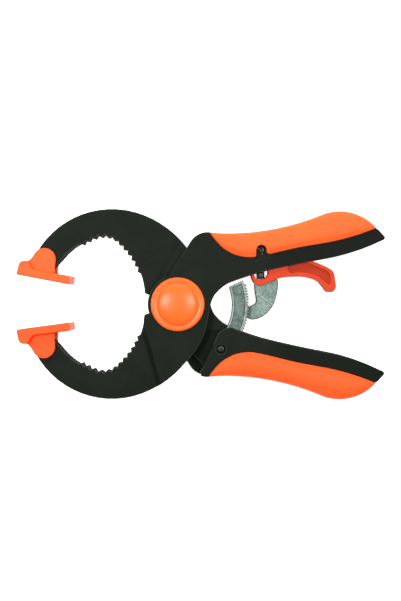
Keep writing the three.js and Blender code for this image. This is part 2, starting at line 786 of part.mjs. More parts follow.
function rearCap() {
  const roof = HALF_THICK - CAP_WALL;
  return cap([
    [0, roof],
    [CAP_DOME_R - 4, roof],
    [CAP_DOME_R - CAP_WALL, CAP_SEAT],
    [CAP_R, CAP_SEAT],
    [CAP_R, HALF_THICK - 1.5],
    [CAP_R - 1.5, HALF_THICK],
    [0, HALF_THICK],
  ]);
}

const washer = () => cut(disc(WASHER_R, WASHER_SEAT + 0.2, WASHER_SEAT + 0.2 + WASHER_H), disc(BOLT_R + GAP, -TOP, TOP));

function pivotBolt() {
  const top = CAP_SEAT + BOLT_HEAD_H;
  return turned(
    [
      [0, -BOLT_END],
      [BOLT_R - 0.5, -BOLT_END],
      [BOLT_R, 0.5 - BOLT_END],
      [BOLT_R, CAP_SEAT],
      [BOLT_HEAD_R, CAP_SEAT],
      [BOLT_HEAD_R, top - 0.8],
      [BOLT_HEAD_R - 1, top],
      [0, top],
    ],
    32,
  );
}

function pivotNut() {
  return cut(disc(BOLT_HEAD_R, -CAP_SEAT - BOLT_HEAD_H, -CAP_SEAT, 0, 0, 6), disc(BOLT_R + GAP, -TOP, TOP));
}

const pivotSleeve = () => cut(disc(SLEEVE_R, 0.1 - WASHER_SEAT, WASHER_SEAT - 0.1), disc(BOLT_R + GAP, -TOP, TOP));

// A torsion spring: a straight leg, the turns, and a second straight leg.
class TorsionWire extends THREE.Curve {
  constructor({ r, turns, pitch, startAngle, leg, endLeg }) {
    super();
    Object.assign(this, { r, turns, pitch, startAngle, leg, endLeg });
    this.coil = 2 * Math.PI * turns * r;
    this.total = leg + this.coil + endLeg;
  }
  getPoint(t, target = new THREE.Vector3()) {
    const s = t * this.total - this.leg;
    const onCoil = THREE.MathUtils.clamp(s, 0, this.coil);
    const angle = rad(this.startAngle) + onCoil / this.r;
    const z = (onCoil / this.coil - 0.5) * this.turns * this.pitch;
    const over = s - onCoil;
    return target.set(
      this.r * Math.cos(angle) - over * Math.sin(angle),
      this.r * Math.sin(angle) + over * Math.cos(angle),
      z,
    );
  }
}

function wire(curve, thickness, steps, sides = 8) {
  const section = new THREE.Shape(Array.from({ length: sides }, (_, i) => polar(thickness / 2, (360 * i) / sides)));
  return toSolid(new THREE.ExtrudeGeometry(section, { extrudePath: curve, steps, bevelEnabled: false }));
}

function mainSpring() {
  const curve = new TorsionWire({
    r: SPRING_R,
    turns: SPRING_TURNS,
    pitch: SPRING_PITCH,
    startAngle: -LEG_ANGLE,
    leg: SPRING_LEG,
    endLeg: SPRING_LEG,
  });
  return wire(curve, SPRING_WIRE, 84);
}

function latchSpring() {
  const curve = new TorsionWire({
    r: LATCH_SPRING_R,
    turns: LATCH_SPRING_TURNS,
    pitch: LATCH_SPRING_PITCH,
    startAngle: 0,
    leg: 6.6,
    endLeg: 5.6,
  });
  return wire(curve, LATCH_SPRING_WIRE, 44, 6);
}

// ---------------------------------------------------------------- fasteners and pins

function rackScrew() {
  const top = ARM_HALF - 0.3;
  return turned(
    [
      [0, 0.4 - ARM_HALF],
      [SCREW_R, 0.4 - ARM_HALF],
      [SCREW_R, top - SCREW_HEAD_H],
      [SCREW_HEAD_R, top - SCREW_HEAD_H],
      [SCREW_HEAD_R, top - 0.4],
      [SCREW_HEAD_R - 0.5, top],
      [0, top],
    ],
    20,
  );
}

const rackNut = () => cut(disc(NUT_R, 0.3 - ARM_HALF, NUT_H - ARM_HALF, 0, 0, 6), disc(SCREW_R + GAP, -TOP, TOP, 0, 0, 20));

function latchPin() {
  const end = LATCH_BOSS_H + 0.3;
  const half = [
    [0, end],
    [LATCH_R - 0.7, end],
    [LATCH_R, end - 0.5],
  ];
  return turned([...half, ...half.map(([r, z]) => [r, -z]).reverse()].reverse(), 20);
}

function pawlPin() {
  const end = ARM_HALF - SHELL_WALL - 0.4;
  const step = PAWL_HALF + GAP;
  const half = [
    [0, end],
    [CROSS_HEAD_R - 0.6, end],
    [CROSS_HEAD_R, end - 0.5],
    [CROSS_HEAD_R, step],
    [CROSS_R, step],
  ];
  return turned([...half, ...half.map(([r, z]) => [r, -z]).reverse()].reverse(), 20);
}

// ---------------------------------------------------------------- swivel pads

// Drawn about its own pin, face down and with the thick lip at the left.
function pad() {
  const face = -PAD_FACE;
  const shelf = face + PAD_BASE;
  const base = [
    at(PAD_LEFT, face),
    at(PAD_RIGHT, face),
    at(PAD_RIGHT - 0.2, shelf),
    at(-5, shelf - 0.4),
    at(-6.6, -6.5),
    at(-7.8, -4.7),
    at(-9.3, -3.2),
    at(-11.4, -3.1),
    at(-13.3, -4.2),
    at(-14.1, -6.2),
  ];
  const earR = TIP_R;
  const ear = [
    ...arc(earR, 0, 165),
    at(-8.2, -0.6),
    at(-9.6, -2.4),
    at(-11.2, -3.3),
    at(-11, shelf - 1),
    at(earR + 0.9, shelf - 1),
  ];
  const earIn = JAW_HALF + GAP;
  const ears = [
    prism(ear, earIn, earIn + EAR_T),
    prism(ear, -earIn - EAR_T, -earIn),
    disc(STUB_R, earIn - 2, earIn + 0.5, 0, 0, 24),
    disc(STUB_R, -earIn - 0.5, 2 - earIn, 0, 0, 24),
  ];
  return cut(join(prism(base, -HALF_THICK, HALF_THICK), ...ears), disc(TIP_R + GAP, -earIn, earIn).subtract(
    join(disc(STUB_R, earIn - 2, earIn + 0.5, 0, 0, 24), disc(STUB_R, -earIn - 0.5, 2 - earIn, 0, 0, 24)),
  ));
}

// ---------------------------------------------------------------- assembly

const group = new THREE.Group();
const clamp = new THREE.Group();
clamp.position.z = HALF_THICK;
group.add(clamp);

function place(name, solid, material, { x = 0, y = 0, z = 0, over = 0, turn = 0 } = {}) {
  const mesh = named(name, solid, material);
  mesh.position.set(x, y, z);
  mesh.rotation.set(over, 0, turn);
  clamp.add(mesh);
}

place("rear_arm", rearArm(), NYLON);
place("lower_grip", grip(), ORANGE, { over: Math.PI });
place("ratchet_rack", rack(), ZINC);
place("rack_screw", rackScrew(), BLACK_STEEL, RACK_SCREW);
place("rack_nut", rackNut(), STEEL, RACK_SCREW);
place("rear_cap", rearCap(), GLOSS_ORANGE, { over: Math.PI });
place("rear_washer", washer(), STEEL, { over: Math.PI });
place("pivot_bolt", pivotBolt(), STEEL);
place("pivot_nut", pivotNut(), STEEL);
place("pivot_sleeve", pivotSleeve(), STEEL);
place("main_spring", mainSpring(), STEEL);
place("front_arm", frontArm(), NYLON);
place("upper_grip", cut(grip(), latchNotch(GAP, -TOP - 2, TOP + 2)), ORANGE);
place("front_cap", frontCap(), GLOSS_ORANGE);
place("front_washer", washer(), STEEL);
place("latch_pin", latchPin(), BLACK_STEEL, LATCH);
place("latch_spring", latchSpring(), STEEL, { ...LATCH, z: -2.4 });
place("pawl", pawl(), ZINC);
place("pawl_pin", pawlPin(), BLACK_STEEL, CROSS);
place("release_lever", lever(), RED_ORANGE);
place("upper_pad", pad(), ORANGE, { ...PAD_PIN, turn: rad(UPPER_PAD_TILT) });
place("lower_pad", pad(), ORANGE, { x: PAD_PIN.x, y: -PAD_PIN.y, over: Math.PI, turn: rad(LOWER_PAD_TILT) });

export default group;
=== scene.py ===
"""Looks of a ratchet spring clamp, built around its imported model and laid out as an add-on."""
import json
import math

import bmesh
import bpy
from bpy.props import FloatProperty, FloatVectorProperty, IntProperty, PointerProperty
from mathutils import Matrix, Vector, geometry


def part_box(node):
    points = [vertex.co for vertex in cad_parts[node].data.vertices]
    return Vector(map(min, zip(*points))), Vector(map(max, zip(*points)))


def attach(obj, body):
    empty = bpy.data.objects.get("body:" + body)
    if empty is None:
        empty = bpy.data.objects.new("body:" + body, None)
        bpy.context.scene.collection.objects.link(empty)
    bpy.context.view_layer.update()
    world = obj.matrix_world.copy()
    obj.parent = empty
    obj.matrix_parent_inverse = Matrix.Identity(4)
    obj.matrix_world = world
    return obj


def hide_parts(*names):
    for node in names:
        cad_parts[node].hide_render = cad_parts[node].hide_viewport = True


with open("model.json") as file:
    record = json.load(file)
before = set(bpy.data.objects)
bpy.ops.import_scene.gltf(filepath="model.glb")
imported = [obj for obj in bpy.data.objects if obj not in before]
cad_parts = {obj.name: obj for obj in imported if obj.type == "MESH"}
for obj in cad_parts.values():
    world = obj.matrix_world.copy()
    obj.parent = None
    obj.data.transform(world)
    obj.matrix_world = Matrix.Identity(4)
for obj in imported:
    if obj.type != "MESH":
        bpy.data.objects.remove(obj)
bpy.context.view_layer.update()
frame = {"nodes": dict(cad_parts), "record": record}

bl_info = {
    "name": "Ratchet spring clamp",
    "version": (1, 0, 0),
    "blender": (4, 5, 0),
    "location": "View3D > Sidebar > Clamp",
    "description": "Builds the finished pieces of a ratchet spring clamp around its frame",
    "category": "Object",
}

MM = 0.001
PIVOT_Z = (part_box("front_cap")[1].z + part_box("rear_cap")[0].z) / 2
BODY_OF = {n: b for b, nodes in frame["record"]["behaviour"]["bodies"].items() for n in nodes}
JOINT = {j["name"]: j for j in frame["record"]["behaviour"]["joints"]}
LATCH = [v / MM for v in JOINT["pawl_pivot"]["pos_m"][:2]]
PAD_PIN = [v / MM for v in JOINT["upper_pad_swivel"]["pos_m"][:2]]

RIM = "polished rim"  # attribute that is 1 on rounded edges, where the nylon and orange materials paint a highlight and the zinc paints shade
MERGE = 0.01 * MM  # corners of a CAD copy nearer than this are one
SLIVER = 0.05 * MM  # edges of a CAD copy shorter than this are closed up
NARROW_CORNER = math.radians(32)  # a rounded rim runs astray round sharper face corners
THIN_FACE = 1.2  # least width of a face beside a rounded rim, in radii of the rim
TOOTH_FACE = 3.2 * MM  # upright edges between faces narrower than this are teeth and stay crisp
RIM_STEPS = 3  # faces across a rounded rim
CORNER_STEPS = 4  # and across a rounded corner of a turned profile
CURVE_STEPS = 12  # points between two given points of a smooth curve

# Sizes below are millimetres from the pivot, with height from the middle of the clamp.
ARM_HALF = (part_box("rear_arm")[1].z - PIVOT_Z) / MM
HALF_THICK = PIVOT_Z / MM
GRIP_FROM, GRIP_TO = [corner.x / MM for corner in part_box("lower_grip")]
TURN_OVER = Matrix.Rotation(math.pi, 4, "X")
TO_FRAME = Matrix.Translation((0, 0, PIVOT_Z)) @ Matrix.Scale(MM, 4)


# ------------------------------------------------------------------ nodes and materials

def add_node(tree, kind, settings=None, **inputs):
    """One node: its settings first, then the values or links of its sockets, by name or as i and a number."""
    node = tree.nodes.new(kind)
    for key, value in (settings or {}).items():
        setattr(node, key, value)
    for key, value in inputs.items():
        socket = node.inputs[int(key[1:]) if key[0] == "i" and key[1:].isdigit() else key.replace("_", " ")]
        for one in value if isinstance(value, list) else [value]:
            if isinstance(one, Wire):
                one = one.socket
            if isinstance(one, bpy.types.NodeSocket):
                tree.links.new(one, socket)
            else:
                socket.default_value = one
    return node


def add_math(tree, operation, values):
    """A Math node on the values."""
    numbered = {f"i{i}": value for i, value in enumerate(values)}
    return add_node(tree, "ShaderNodeMath", {"operation": operation}, **numbered).outputs[0]


class Wire:
    """A node socket that adds Math nodes when it is used in an expression."""

    def __init__(self, tree, socket):
        self.tree = tree
        self.socket = socket

    def math(self, operation, *values):
        return Wire(self.tree, add_math(self.tree, operation, values))

    def __add__(self, other):
        return self.math("ADD", self, other)

    __radd__ = __add__

    def __sub__(self, other):
        return self.math("SUBTRACT", self, other)

    def __rsub__(self, other):
        return self.math("SUBTRACT", other, self)

    def __mul__(self, other):
        return self.math("MULTIPLY", self, other)

    __rmul__ = __mul__

    def __truediv__(self, other):
        return self.math("DIVIDE", self, other)

    def __pow__(self, other):
        return self.math("POWER", self, other)

    def step(self, low, high):
        """0 below low, 1 above high and a smooth run between."""
        smoothly = {"interpolation_type": "SMOOTHSTEP"}
        node = add_node(self.tree, "ShaderNodeMapRange", smoothly, Value=self, From_Min=low, From_Max=high)
        return Wire(self.tree, node.outputs[0])


class Finish:
    """A material whose Principled shader is given varying and uniform values by socket name."""

    def __init__(self, name, **uniform):
        self.material = bpy.data.materials.new(name)
        self.material.use_nodes = True
        self.tree = self.material.node_tree
        self.shader = self.tree.nodes["Principled BSDF"]
        for socket, value in uniform.items():
            self.shader.inputs[socket.replace("_", " ")].default_value = value
        self.place = self.node("ShaderNodeTexCoord", "Object")

    def node(self, kind, output, settings=None, **inputs):
        return Wire(self.tree, add_node(self.tree, kind, settings, **inputs).outputs[output])

    def noise(self, size_mm, detail=3.0, roughness=0.5, stretch=None):
        """Noise whose blobs are about size_mm across."""
        place = self.place
        if stretch:
            place = self.node("ShaderNodeMapping", "Vector", Vector=self.place, Scale=stretch)
        scale = 1 / (size_mm * MM)
        return self.node("ShaderNodeTexNoise", 0, Vector=place, Scale=scale, Detail=detail, Roughness=roughness)

    def grains(self, size_mm):
        """Distance to scattered points, size_mm apart."""
        return self.node("ShaderNodeTexVoronoi", 0, Vector=self.place, Scale=1 / (size_mm * MM))

    def mix(self, factor, first, second):
        return self.node(
            "ShaderNodeMix", 2, {"data_type": "RGBA"}, i0=factor, i6=_rgba(first), i7=_rgba(second)
        )

    def along(self, axis):
        """Position along an axis of the part's frame, in millimetres."""
        return self.node("ShaderNodeSeparateXYZ", axis, Vector=self.place) / MM

    def height(self):
        """Distance from the middle of the clamp, in millimetres."""
        above = self.along("Z") - PIVOT_Z / MM
        return above.math("ABSOLUTE", above)

    def reach(self):
        """Distance from the pivot, in millimetres."""
        x, y = self.along("X"), self.along("Y")
        return (x * x + y * y) ** 0.5

    def bump(self, height, strength, depth_mm, under=None):
        inputs = {"Height": height, "Strength": strength, "Distance": depth_mm * MM}
        if under is not None:
            inputs["Normal"] = under
        return self.node("ShaderNodeBump", "Normal", **inputs)

    def feed(self, **links):
        for socket, wire in links.items():
            self.tree.links.new(wire.socket, self.shader.inputs[socket.replace("_", " ")])
        return self.material


def _rgba(colour):
    return colour if isinstance(colour, Wire) else (*colour[:3], 1)


def shade(colour, factor):
    """The colour made darker or lighter, and no lighter than white."""
    return tuple(min(1.0, c * factor) for c in colour[:3])


def moulded_nylon(colour):
    """Black glass-filled nylon: a fine spark-eroded grain and cloudy patches, a painted highlight on its rounded
    rims, darker along the handles and painted shade on the jaws' side walls.
    """
    finish = Finish("black_nylon", Specular_IOR_Level=0.07)
    grain = finish.noise(0.35, detail=2.0)
    cloud = finish.noise(14.0, detail=4.0)
    tint = finish.mix(cloud.step(0.35, 0.7), shade(colour, 0.86), shade(colour, 1.16))
    speck = finish.noise(0.9, detail=1.0).step(0.5, 0.75)
    tint = finish.mix(speck * 0.35, tint, shade(colour, 1.6))
    rim = finish.node("ShaderNodeAttribute", "Fac", {"attribute_name": RIM})
    # painted highlight along the rounded rims
    tint = finish.mix(rim * (0.45 + cloud * 0.45), tint, shade(colour, 5.0))
    # darker along the handles, from 45 to 70 mm out from the pivot
    handle_darkening = finish.along("X").step(45.0, 70.0)
    tint = finish.mix(handle_darkening * 0.5, tint, shade(colour, 0.3))
    # painted shade: the jaws' side walls below their faces are painted nearly black
    painted_wall_shade = (1 - finish.height().step(4.3, 4.9)) * (1 - finish.along("X").step(-28.0, -20.0))
    tint = finish.mix(painted_wall_shade * 0.75, tint, shade(colour, 0.1))
    rough = 0.5 + grain * 0.12 + cloud * 0.06 - rim * 0.12 + painted_wall_shade * 0.3
    bump = finish.bump(grain, 0.25, 0.05)
    return finish.feed(Base_Color=tint, Roughness=rough, Normal=bump)


def moulded_orange(name, colour, roughness, grain_mm, grain_depth, specular=0.12, shade_below_pivot=1.0, shade_sunk_below=None):
    """Orange plastic or rubber with a soft skin, painted shade that makes it a deeper, redder orange below the pivot,
    a painted highlight on rounded rims, and painted shade and a rougher skin where it is sunk.
    """
    finish = Finish(name, Specular_IOR_Level=specular)
    skin = finish.noise(grain_mm, detail=2.0)
    cloud = finish.noise(22.0, detail=3.0)
    tint = finish.mix(cloud.step(0.3, 0.7), shade(colour, 0.95), shade(colour, 1.05))
    # painted shade: below the pivot the orange is painted darker and redder
    if shade_below_pivot < 1:
        shaded_orange = (colour[0], colour[1] * shade_below_pivot, colour[2] * shade_below_pivot ** 1.5)
        tint = finish.mix((1 - finish.along("Y").step(-15.0, 15.0)) * 0.9, tint, shaded_orange)
    rim = finish.node("ShaderNodeAttribute", "Fac", {"attribute_name": RIM})
    # painted highlight along the rounded rims
    tint = finish.mix(rim * 0.4, tint, shade(colour, 1.35))
    rough = roughness + skin * 0.08 + cloud * 0.04 - 0.06
    # painted shade in sunk panels: darker below the given height, and rougher there
    if shade_sunk_below:
        sunk = 1 - finish.height().step(shade_sunk_below - 0.5, shade_sunk_below)
        tint = finish.mix(sunk * 0.6, tint, shade(colour, 0.5))
        rough = rough + sunk * 0.1
    bump = finish.bump(skin, 0.3, grain_depth, under=finish.bump(cloud, 0.15, 0.12))
    return finish.feed(Base_Color=tint, Roughness=rough, Normal=bump)


def cast_zinc(colour):
    """Die-cast zinc: sandy and pitted, bright on its proud rims, darker over the teeth, and with painted shade along
    the rack's inner side and on its rounded edges.
    """
    finish = Finish("cast_zinc", Metallic=0.8)
    sand = finish.noise(0.9, detail=4.0, roughness=0.7)
    flow = finish.noise(4.5, detail=5.0, roughness=0.6)
    pits = 1 - finish.grains(1.3).step(0.05, 0.25)
    height, reach = finish.height(), finish.reach()
    # darker over the band of teeth; painted shade along the rack's inner side
    teeth_dark_and_edge_shade = reach.step(41.7, 42.1) * (1 - reach.step(43.9, 44.3)) * 0.6 + (1 - reach.step(32.8, 33.2)) * 0.6
    rim = finish.node("ShaderNodeAttribute", "Fac", {"attribute_name": RIM})
    bright = (0.75 + flow.step(0.35, 0.65) * 0.4) * (0.8 + sand.step(0.38, 0.64) * 0.65) * (1 - pits * 0.5)
    bright = bright * (1 + height.step(2.9, 3.2) * 0.5 + height.step(3.42, 3.56) * 0.6)
    # painted shade on the rounded rims
    bright = bright * (1 - teeth_dark_and_edge_shade) * (1 - rim * 0.5)
    tint = finish.mix(bright / 3, (0, 0, 0), shade(colour, 3))
    rough = 0.45 + sand * 0.22 + flow * 0.08
    bump = finish.bump(sand - pits * 0.8, 0.8, 0.2, under=finish.bump(flow, 0.4, 0.3))
    return finish.feed(Base_Color=tint, Roughness=rough, Normal=bump)


def turned_steel(name, colour, roughness):
    """Turned or drawn steel with fine scratches."""
    finish = Finish(name, Metallic=1.0)
    lines = finish.noise(0.5, detail=3.0, stretch=(1, 1, 12))
    dust = finish.noise(2.5, detail=3.0)
    tint = finish.mix(dust.step(0.35, 0.7), shade(colour, 0.8), shade(colour, 1.15))
    rough = roughness + lines * 0.12 + dust * 0.06
    return finish.feed(Base_Color=tint, Roughness=rough, Normal=finish.bump(lines, 0.2, 0.03))


def pale_floor(colour):
    """White paper that glows a little, so that it stays white under soft shadows."""
    finish = Finish("pale_floor", Specular_IOR_Level=0.1, Emission_Color=(1, 1, 1, 1), Emission_Strength=0.85)
    paper = finish.noise(3.0, detail=2.0)
    tint = finish.mix(paper, shade(colour, 0.995), colour)
    return finish.feed(Base_Color=tint, Roughness=0.85 + paper * 0.05)


# ------------------------------------------------------------------ mesh helpers

def arc(radius, start, end, x=0.0, y=0.0, step=4.0):
    """Points on an arc in degrees, both ends included."""
    count = max(1, math.ceil(abs(end - start) / step))
    angles = [math.radians(start + (end - start) * i / count) for i in range(count + 1)]
    return [(x + radius * math.cos(a), y + radius * math.sin(a)) for a in angles]


def smooth(points, count):
    """Evenly stepped Catmull-Rom curve through the points."""
    ends = [points[0], *points, points[-1]]
    fine = []
    for i in range(1, len(ends) - 2):
        a, b, c, d = (Vector(p) for p in ends[i - 1:i + 3])
        for k in range(CURVE_STEPS):
            t = k / CURVE_STEPS
            fine.append(0.5 * (2 * b + (c - a) * t + (2 * a - 5 * b + 4 * c - d) * t * t
                               + (3 * b - a - 3 * c + d) * t ** 3))
    fine.append(Vector(points[-1]))
    reach = [0.0]
    for a, b in zip(fine, fine[1:]):
        reach.append(reach[-1] + (b - a).length)
    made = []
    i = 0
    for k in range(count + 1):
        want = reach[-1] * k / count
        while i < len(reach) - 2 and reach[i + 1] < want:
            i += 1
        t = (want - reach[i]) / max(1e-9, reach[i + 1] - reach[i])
        made.append(tuple(fine[i].lerp(fine[i + 1], t)))
    return made


def height_on(points, x):
    """Height at x of a curve that runs along x."""
    for a, b in zip(points, points[1:]):
        if b[0] >= x or b is points[-1]:
            return a[1] + (b[1] - a[1]) * (x - a[0]) / (b[0] - a[0])
    raise ValueError("the curve has fewer than two points")


def ease(x, low, high):
    """0 below low, 1 above high and a smooth run between."""
    t = max(0.0, min(1.0, (x - low) / (high - low)))
    return t * t * (3 - 2 * t)


def inset(points, distance):
    """The closed outline moved inwards by distance, with mitred corners."""
    made = []
    for i, point in enumerate(points):
        before = Vector(points[i - 1])
        here = Vector(point)
        after = Vector(points[(i + 1) % len(points)])
        first = (here - before).normalized()
        second = (after - here).normalized()
        n1 = Vector((-first.y, first.x))
        n2 = Vector((-second.y, second.x))
        made.append(tuple(here + (n1 + n2) * (distance / max(0.35, 1 + n1.dot(n2)))))
    return made


def turn_left(points):
    """The outline with its area positive."""
    area = sum(a[0] * b[1] - b[0] * a[1] for a, b in zip(points, [*points[1:], points[0]]))
    return list(points) if area > 0 else list(reversed(points))


def mark_rim(face, layer):
    for corner in face.loops:
        corner[layer] = 1.0


def bridge(bm, first, second, rim=None):
    """Joins two rings of corners, and marks the faces between them as a rim where a layer is given."""
    count = len(first)
    for i in range(count):
        j = (i + 1) % count
        face = bm.faces.new((first[i], first[j], second[j], second[i]))
        if rim:
            mark_rim(face, rim)


def slab(bm, outline, low, high, edge, holes=()):
    """A plate with rounded rims, from its outline and holes. It grows the given bmesh."""
    loops = [turn_left(outline)] + [list(reversed(turn_left(h))) for h in holes]
    steps = [math.pi / 2 * k / RIM_STEPS for k in range(RIM_STEPS + 1)]
    levels = [(low + edge * (1 - math.sin(a)), edge * (1 - math.cos(a))) for a in reversed(steps)]
    levels += [(high - edge * (1 - math.sin(a)), edge * (1 - math.cos(a))) for a in steps]
    levels = [v for i, v in enumerate(levels) if i == 0 or v != levels[i - 1]]
    rim = bm.loops.layers.float.get(RIM) or bm.loops.layers.float.new(RIM)
    caps = []
    for points in loops:
        rings = []
        for z, depth in levels:
            ring = inset(points, depth) if depth > 1e-6 else points
            rings.append([bm.verts.new((x, y, z)) for x, y in ring])
        for i, (first, second) in enumerate(zip(rings, rings[1:])):
            bridge(bm, first, second, rim if levels[i][1] + levels[i + 1][1] > 1e-6 else None)
        caps.append((rings[0], rings[-1]))
    for side in (0, 1):
        rings = [pair[side] for pair in caps]
        flat = [[(*v.co.xy, 0) for v in ring] for ring in rings]
        verts = [v for ring in rings for v in ring]
        for triangle in geometry.tessellate_polygon(flat):
            corners = [verts[i] for i in triangle]
            if len(set(corners)) < 3:
                continue
            a, b, c = (v.co.xy for v in corners)
            up = (b - a).cross(c - a) > 0
            bm.faces.new(corners if up == bool(side) else reversed(corners))


def turned(bm, profile, segments=96, centre=(0.0, 0.0)):
    """A profile of (radius, height) pairs turned about Z, from axis to axis."""
    rings = []
    for radius, z in profile:
        if radius < 1e-6:
            rings.append([bm.verts.new((*centre, z))])
            continue
        angles = [2 * math.pi * k / segments for k in range(segments)]
        rings.append([
            bm.verts.new((centre[0] + radius * math.cos(a), centre[1] + radius * math.sin(a), z)) for a in angles
        ])
    for first, second in zip(rings, rings[1:]):
        for i in range(segments):
            j = (i + 1) % segments
            if len(first) == 1:
                bm.faces.new((first[0], second[j], second[i]))
            elif len(second) == 1:
                bm.faces.new((first[i], first[j], second[0]))
            else:
                bm.faces.new((first[i], first[j], second[j], second[i]))


def rounded_profile(points, radius):
    """The open profile with its inner corners rounded."""
    made = [points[0]]
    for before, here, after in zip(points, points[1:], points[2:]):
        p, a, b = Vector(here), Vector(before), Vector(after)
        reach = min(radius, (a - p).length * 0.45, (b - p).length * 0.45)
        start = p + (a - p).normalized() * reach
        end = p + (b - p).normalized() * reach
        for k in range(CORNER_STEPS + 1):
            t = k / CORNER_STEPS
            made.append(tuple(start * (1 - t) ** 2 + p * (2 * t * (1 - t)) + end * t * t))
    made.append(points[-1])
    return made


def kept_mesh(name, bm):
    """The bmesh as a mesh, and the bmesh let go."""
    mesh = bpy.data.meshes.new(name)
    bm.to_mesh(mesh)
    bm.free()
    return mesh


def set_out(name, data):
    """A new object in the scene for a mesh, light or camera."""
    thing = bpy.data.objects.new(name, data)
    bpy.context.scene.collection.objects.link(thing)
    return thing


def in_frame(name, bm, place=Matrix(), merged=True):
    """A bmesh in millimetres as a mesh in the frame, with its faces outwards."""
    if merged:
        bmesh.ops.remove_doubles(bm, verts=bm.verts, dist=1e-4)
    bmesh.ops.recalc_face_normals(bm, faces=bm.faces)
    bm.transform(TO_FRAME @ place)
    return kept_mesh(name, bm)


def finished(name, bm, material, node, place=Matrix(), smooth_angle=38):
    """A bmesh in millimetres made into a piece of the clamp that stands for a CAD node."""
    return as_piece(name, in_frame(name, bm, place), material, node, smooth_angle)


def as_piece(name, mesh, material, node, smooth_angle=38):
    """A mesh made into a piece that rides the body of the CAD node it stands for."""
    mesh.materials.clear()
    mesh.materials.append(material)
    mesh.shade_smooth()
    mesh.set_sharp_from_angle(angle=math.radians(smooth_angle))
    piece = set_out(name, mesh)
    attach(piece, BODY_OF[node])
    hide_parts(node)
    return piece


def evaluated_mesh(piece, name):
    """The mesh that the piece's modifiers make, with the modifiers taken off."""
    shown = piece.evaluated_get(bpy.context.evaluated_depsgraph_get())
    mesh = bpy.data.meshes.new_from_object(shown)
    mesh.name = name
    piece.modifiers.clear()
    return mesh


def worked_copy(node):
    """A merged copy of a CAD node with its flat faces made whole, as a bmesh in metres."""
    bm = bmesh.new()
    bm.from_mesh(frame["nodes"][node].data)
    bmesh.ops.remove_doubles(bm, verts=bm.verts, dist=MERGE)
    bmesh.ops.dissolve_degenerate(bm, dist=SLIVER, edges=bm.edges)
    bmesh.ops.dissolve_limit(
        bm, angle_limit=math.radians(1.0), verts=bm.verts, edges=bm.edges, use_dissolve_boundaries=False
    )
    bm.normal_update()
    return bm


def roundable(bm, radius, sharper_than):
    """Outer edges whose faces are wide enough, and open enough at their corners, to take a radius."""
    skip = set()
    for face in bm.faces:
        for corner in face.loops:
            if corner.calc_angle() < NARROW_CORNER:
                skip.update((corner.edge, corner.link_loop_prev.edge))
        if face.calc_area() < THIN_FACE * radius * max(e.calc_length() for e in face.edges):
            skip.update(face.edges)
    for edge in bm.edges:
        along = edge.verts[1].co - edge.verts[0].co
        upright = abs(along.z) > 0.95 * along.length
        if upright and all(f.calc_area() < TOOTH_FACE * along.length for f in edge.link_faces):
            skip.add(edge)
    return [
        e for e in bm.edges
        if e not in skip and e.is_manifold and e.is_convex and e.calc_face_angle(0) > math.radians(sharper_than)
    ]


def softened(name, node, material, edge_mm, sharper_than=34, rounds=RIM_STEPS):
    """A CAD node with its outer edges rounded, as they leave the mould, and marked as rims."""
    bm = worked_copy(node)
    made = bmesh.ops.bevel(
        bm, geom=roundable(bm, edge_mm * MM, sharper_than), offset=edge_mm * MM, segments=rounds, profile=0.5,
        affect="EDGES", clamp_overlap=False, loop_slide=True,
    )
    rim = bm.loops.layers.float.new(RIM)
    for face in made["faces"]:
        mark_rim(face, rim)
    split_flats(bm)
    piece = as_piece(name, kept_mesh(name, bm), material, node)
    weigh_normals(piece)
    return piece


def split_flats(bm):
    """Cuts faces of many corners into triangles that all face the same way."""
    for flat in [f for f in bm.faces if len(f.verts) > 4]:
        corners, outward = list(flat.verts), flat.normal.copy()
        triangles = [[corners[i] for i in t] for t in geometry.tessellate_polygon([[v.co / MM for v in corners]])]
        bm.faces.remove(flat)
        for triangle in triangles:
            a, b, c = (v.co for v in triangle)
            turned_back = (b - a).cross(c - a).dot(outward) < 0
            if len(set(triangle)) == 3 and not bm.faces.get(triangle):
                bm.faces.new(reversed(triangle) if turned_back else triangle)
    bm.normal_update()


def weigh_normals(piece):
    """Keeps large faces flat to the eye beside their rounded rims."""
    modifier = piece.modifiers.new("flat faces", "WEIGHTED_NORMAL")
    modifier.keep_sharp = True
    modifier.weight = 90


# ------------------------------------------------------------------ Geometry Nodes

class Tree:
    """A Geometry Nodes tree built in order, with named inputs."""

    def __init__(self, name):
        self.group = bpy.data.node_groups.new(name, "GeometryNodeTree")
        self.group.interface.new_socket("Geometry", in_out="INPUT", socket_type="NodeSocketGeometry")
        self.group.interface.new_socket("Geometry", in_out="OUTPUT", socket_type="NodeSocketGeometry")
        self.entry = self.group.nodes.new("NodeGroupInput")
        self.exit = self.group.nodes.new("NodeGroupOutput")
        self.names = {}

    def input(self, name, kind, default):
        socket = self.group.interface.new_socket(name, in_out="INPUT", socket_type=kind)
        socket.default_value = default
        self.names[name] = socket.identifier
        return self.entry.outputs[name]

    def node(self, kind, settings=None, **inputs):
        return add_node(self.group, kind, settings, **inputs)

    def sum(self, operation, *values):
        return add_math(self.group, operation, values)

    def close(self, shape, material):
        whole = self.node("GeometryNodeRealizeInstances", Geometry=shape)
        painted = self.node("GeometryNodeSetMaterial", Geometry=whole.outputs[0], Material=material)
        self.group.links.new(painted.outputs[0], self.exit.inputs[0])

    def run(self, piece, **values):
        """Puts the tree on a piece and sets its inputs by their sockets' identifiers."""
        modifier = piece.modifiers.new(self.group.name, "NODES")
        modifier.node_group = self.group
        for name, value in values.items():
            modifier[self.names[name.replace("_", " ")]] = value
        return evaluated_mesh(piece, piece.name)


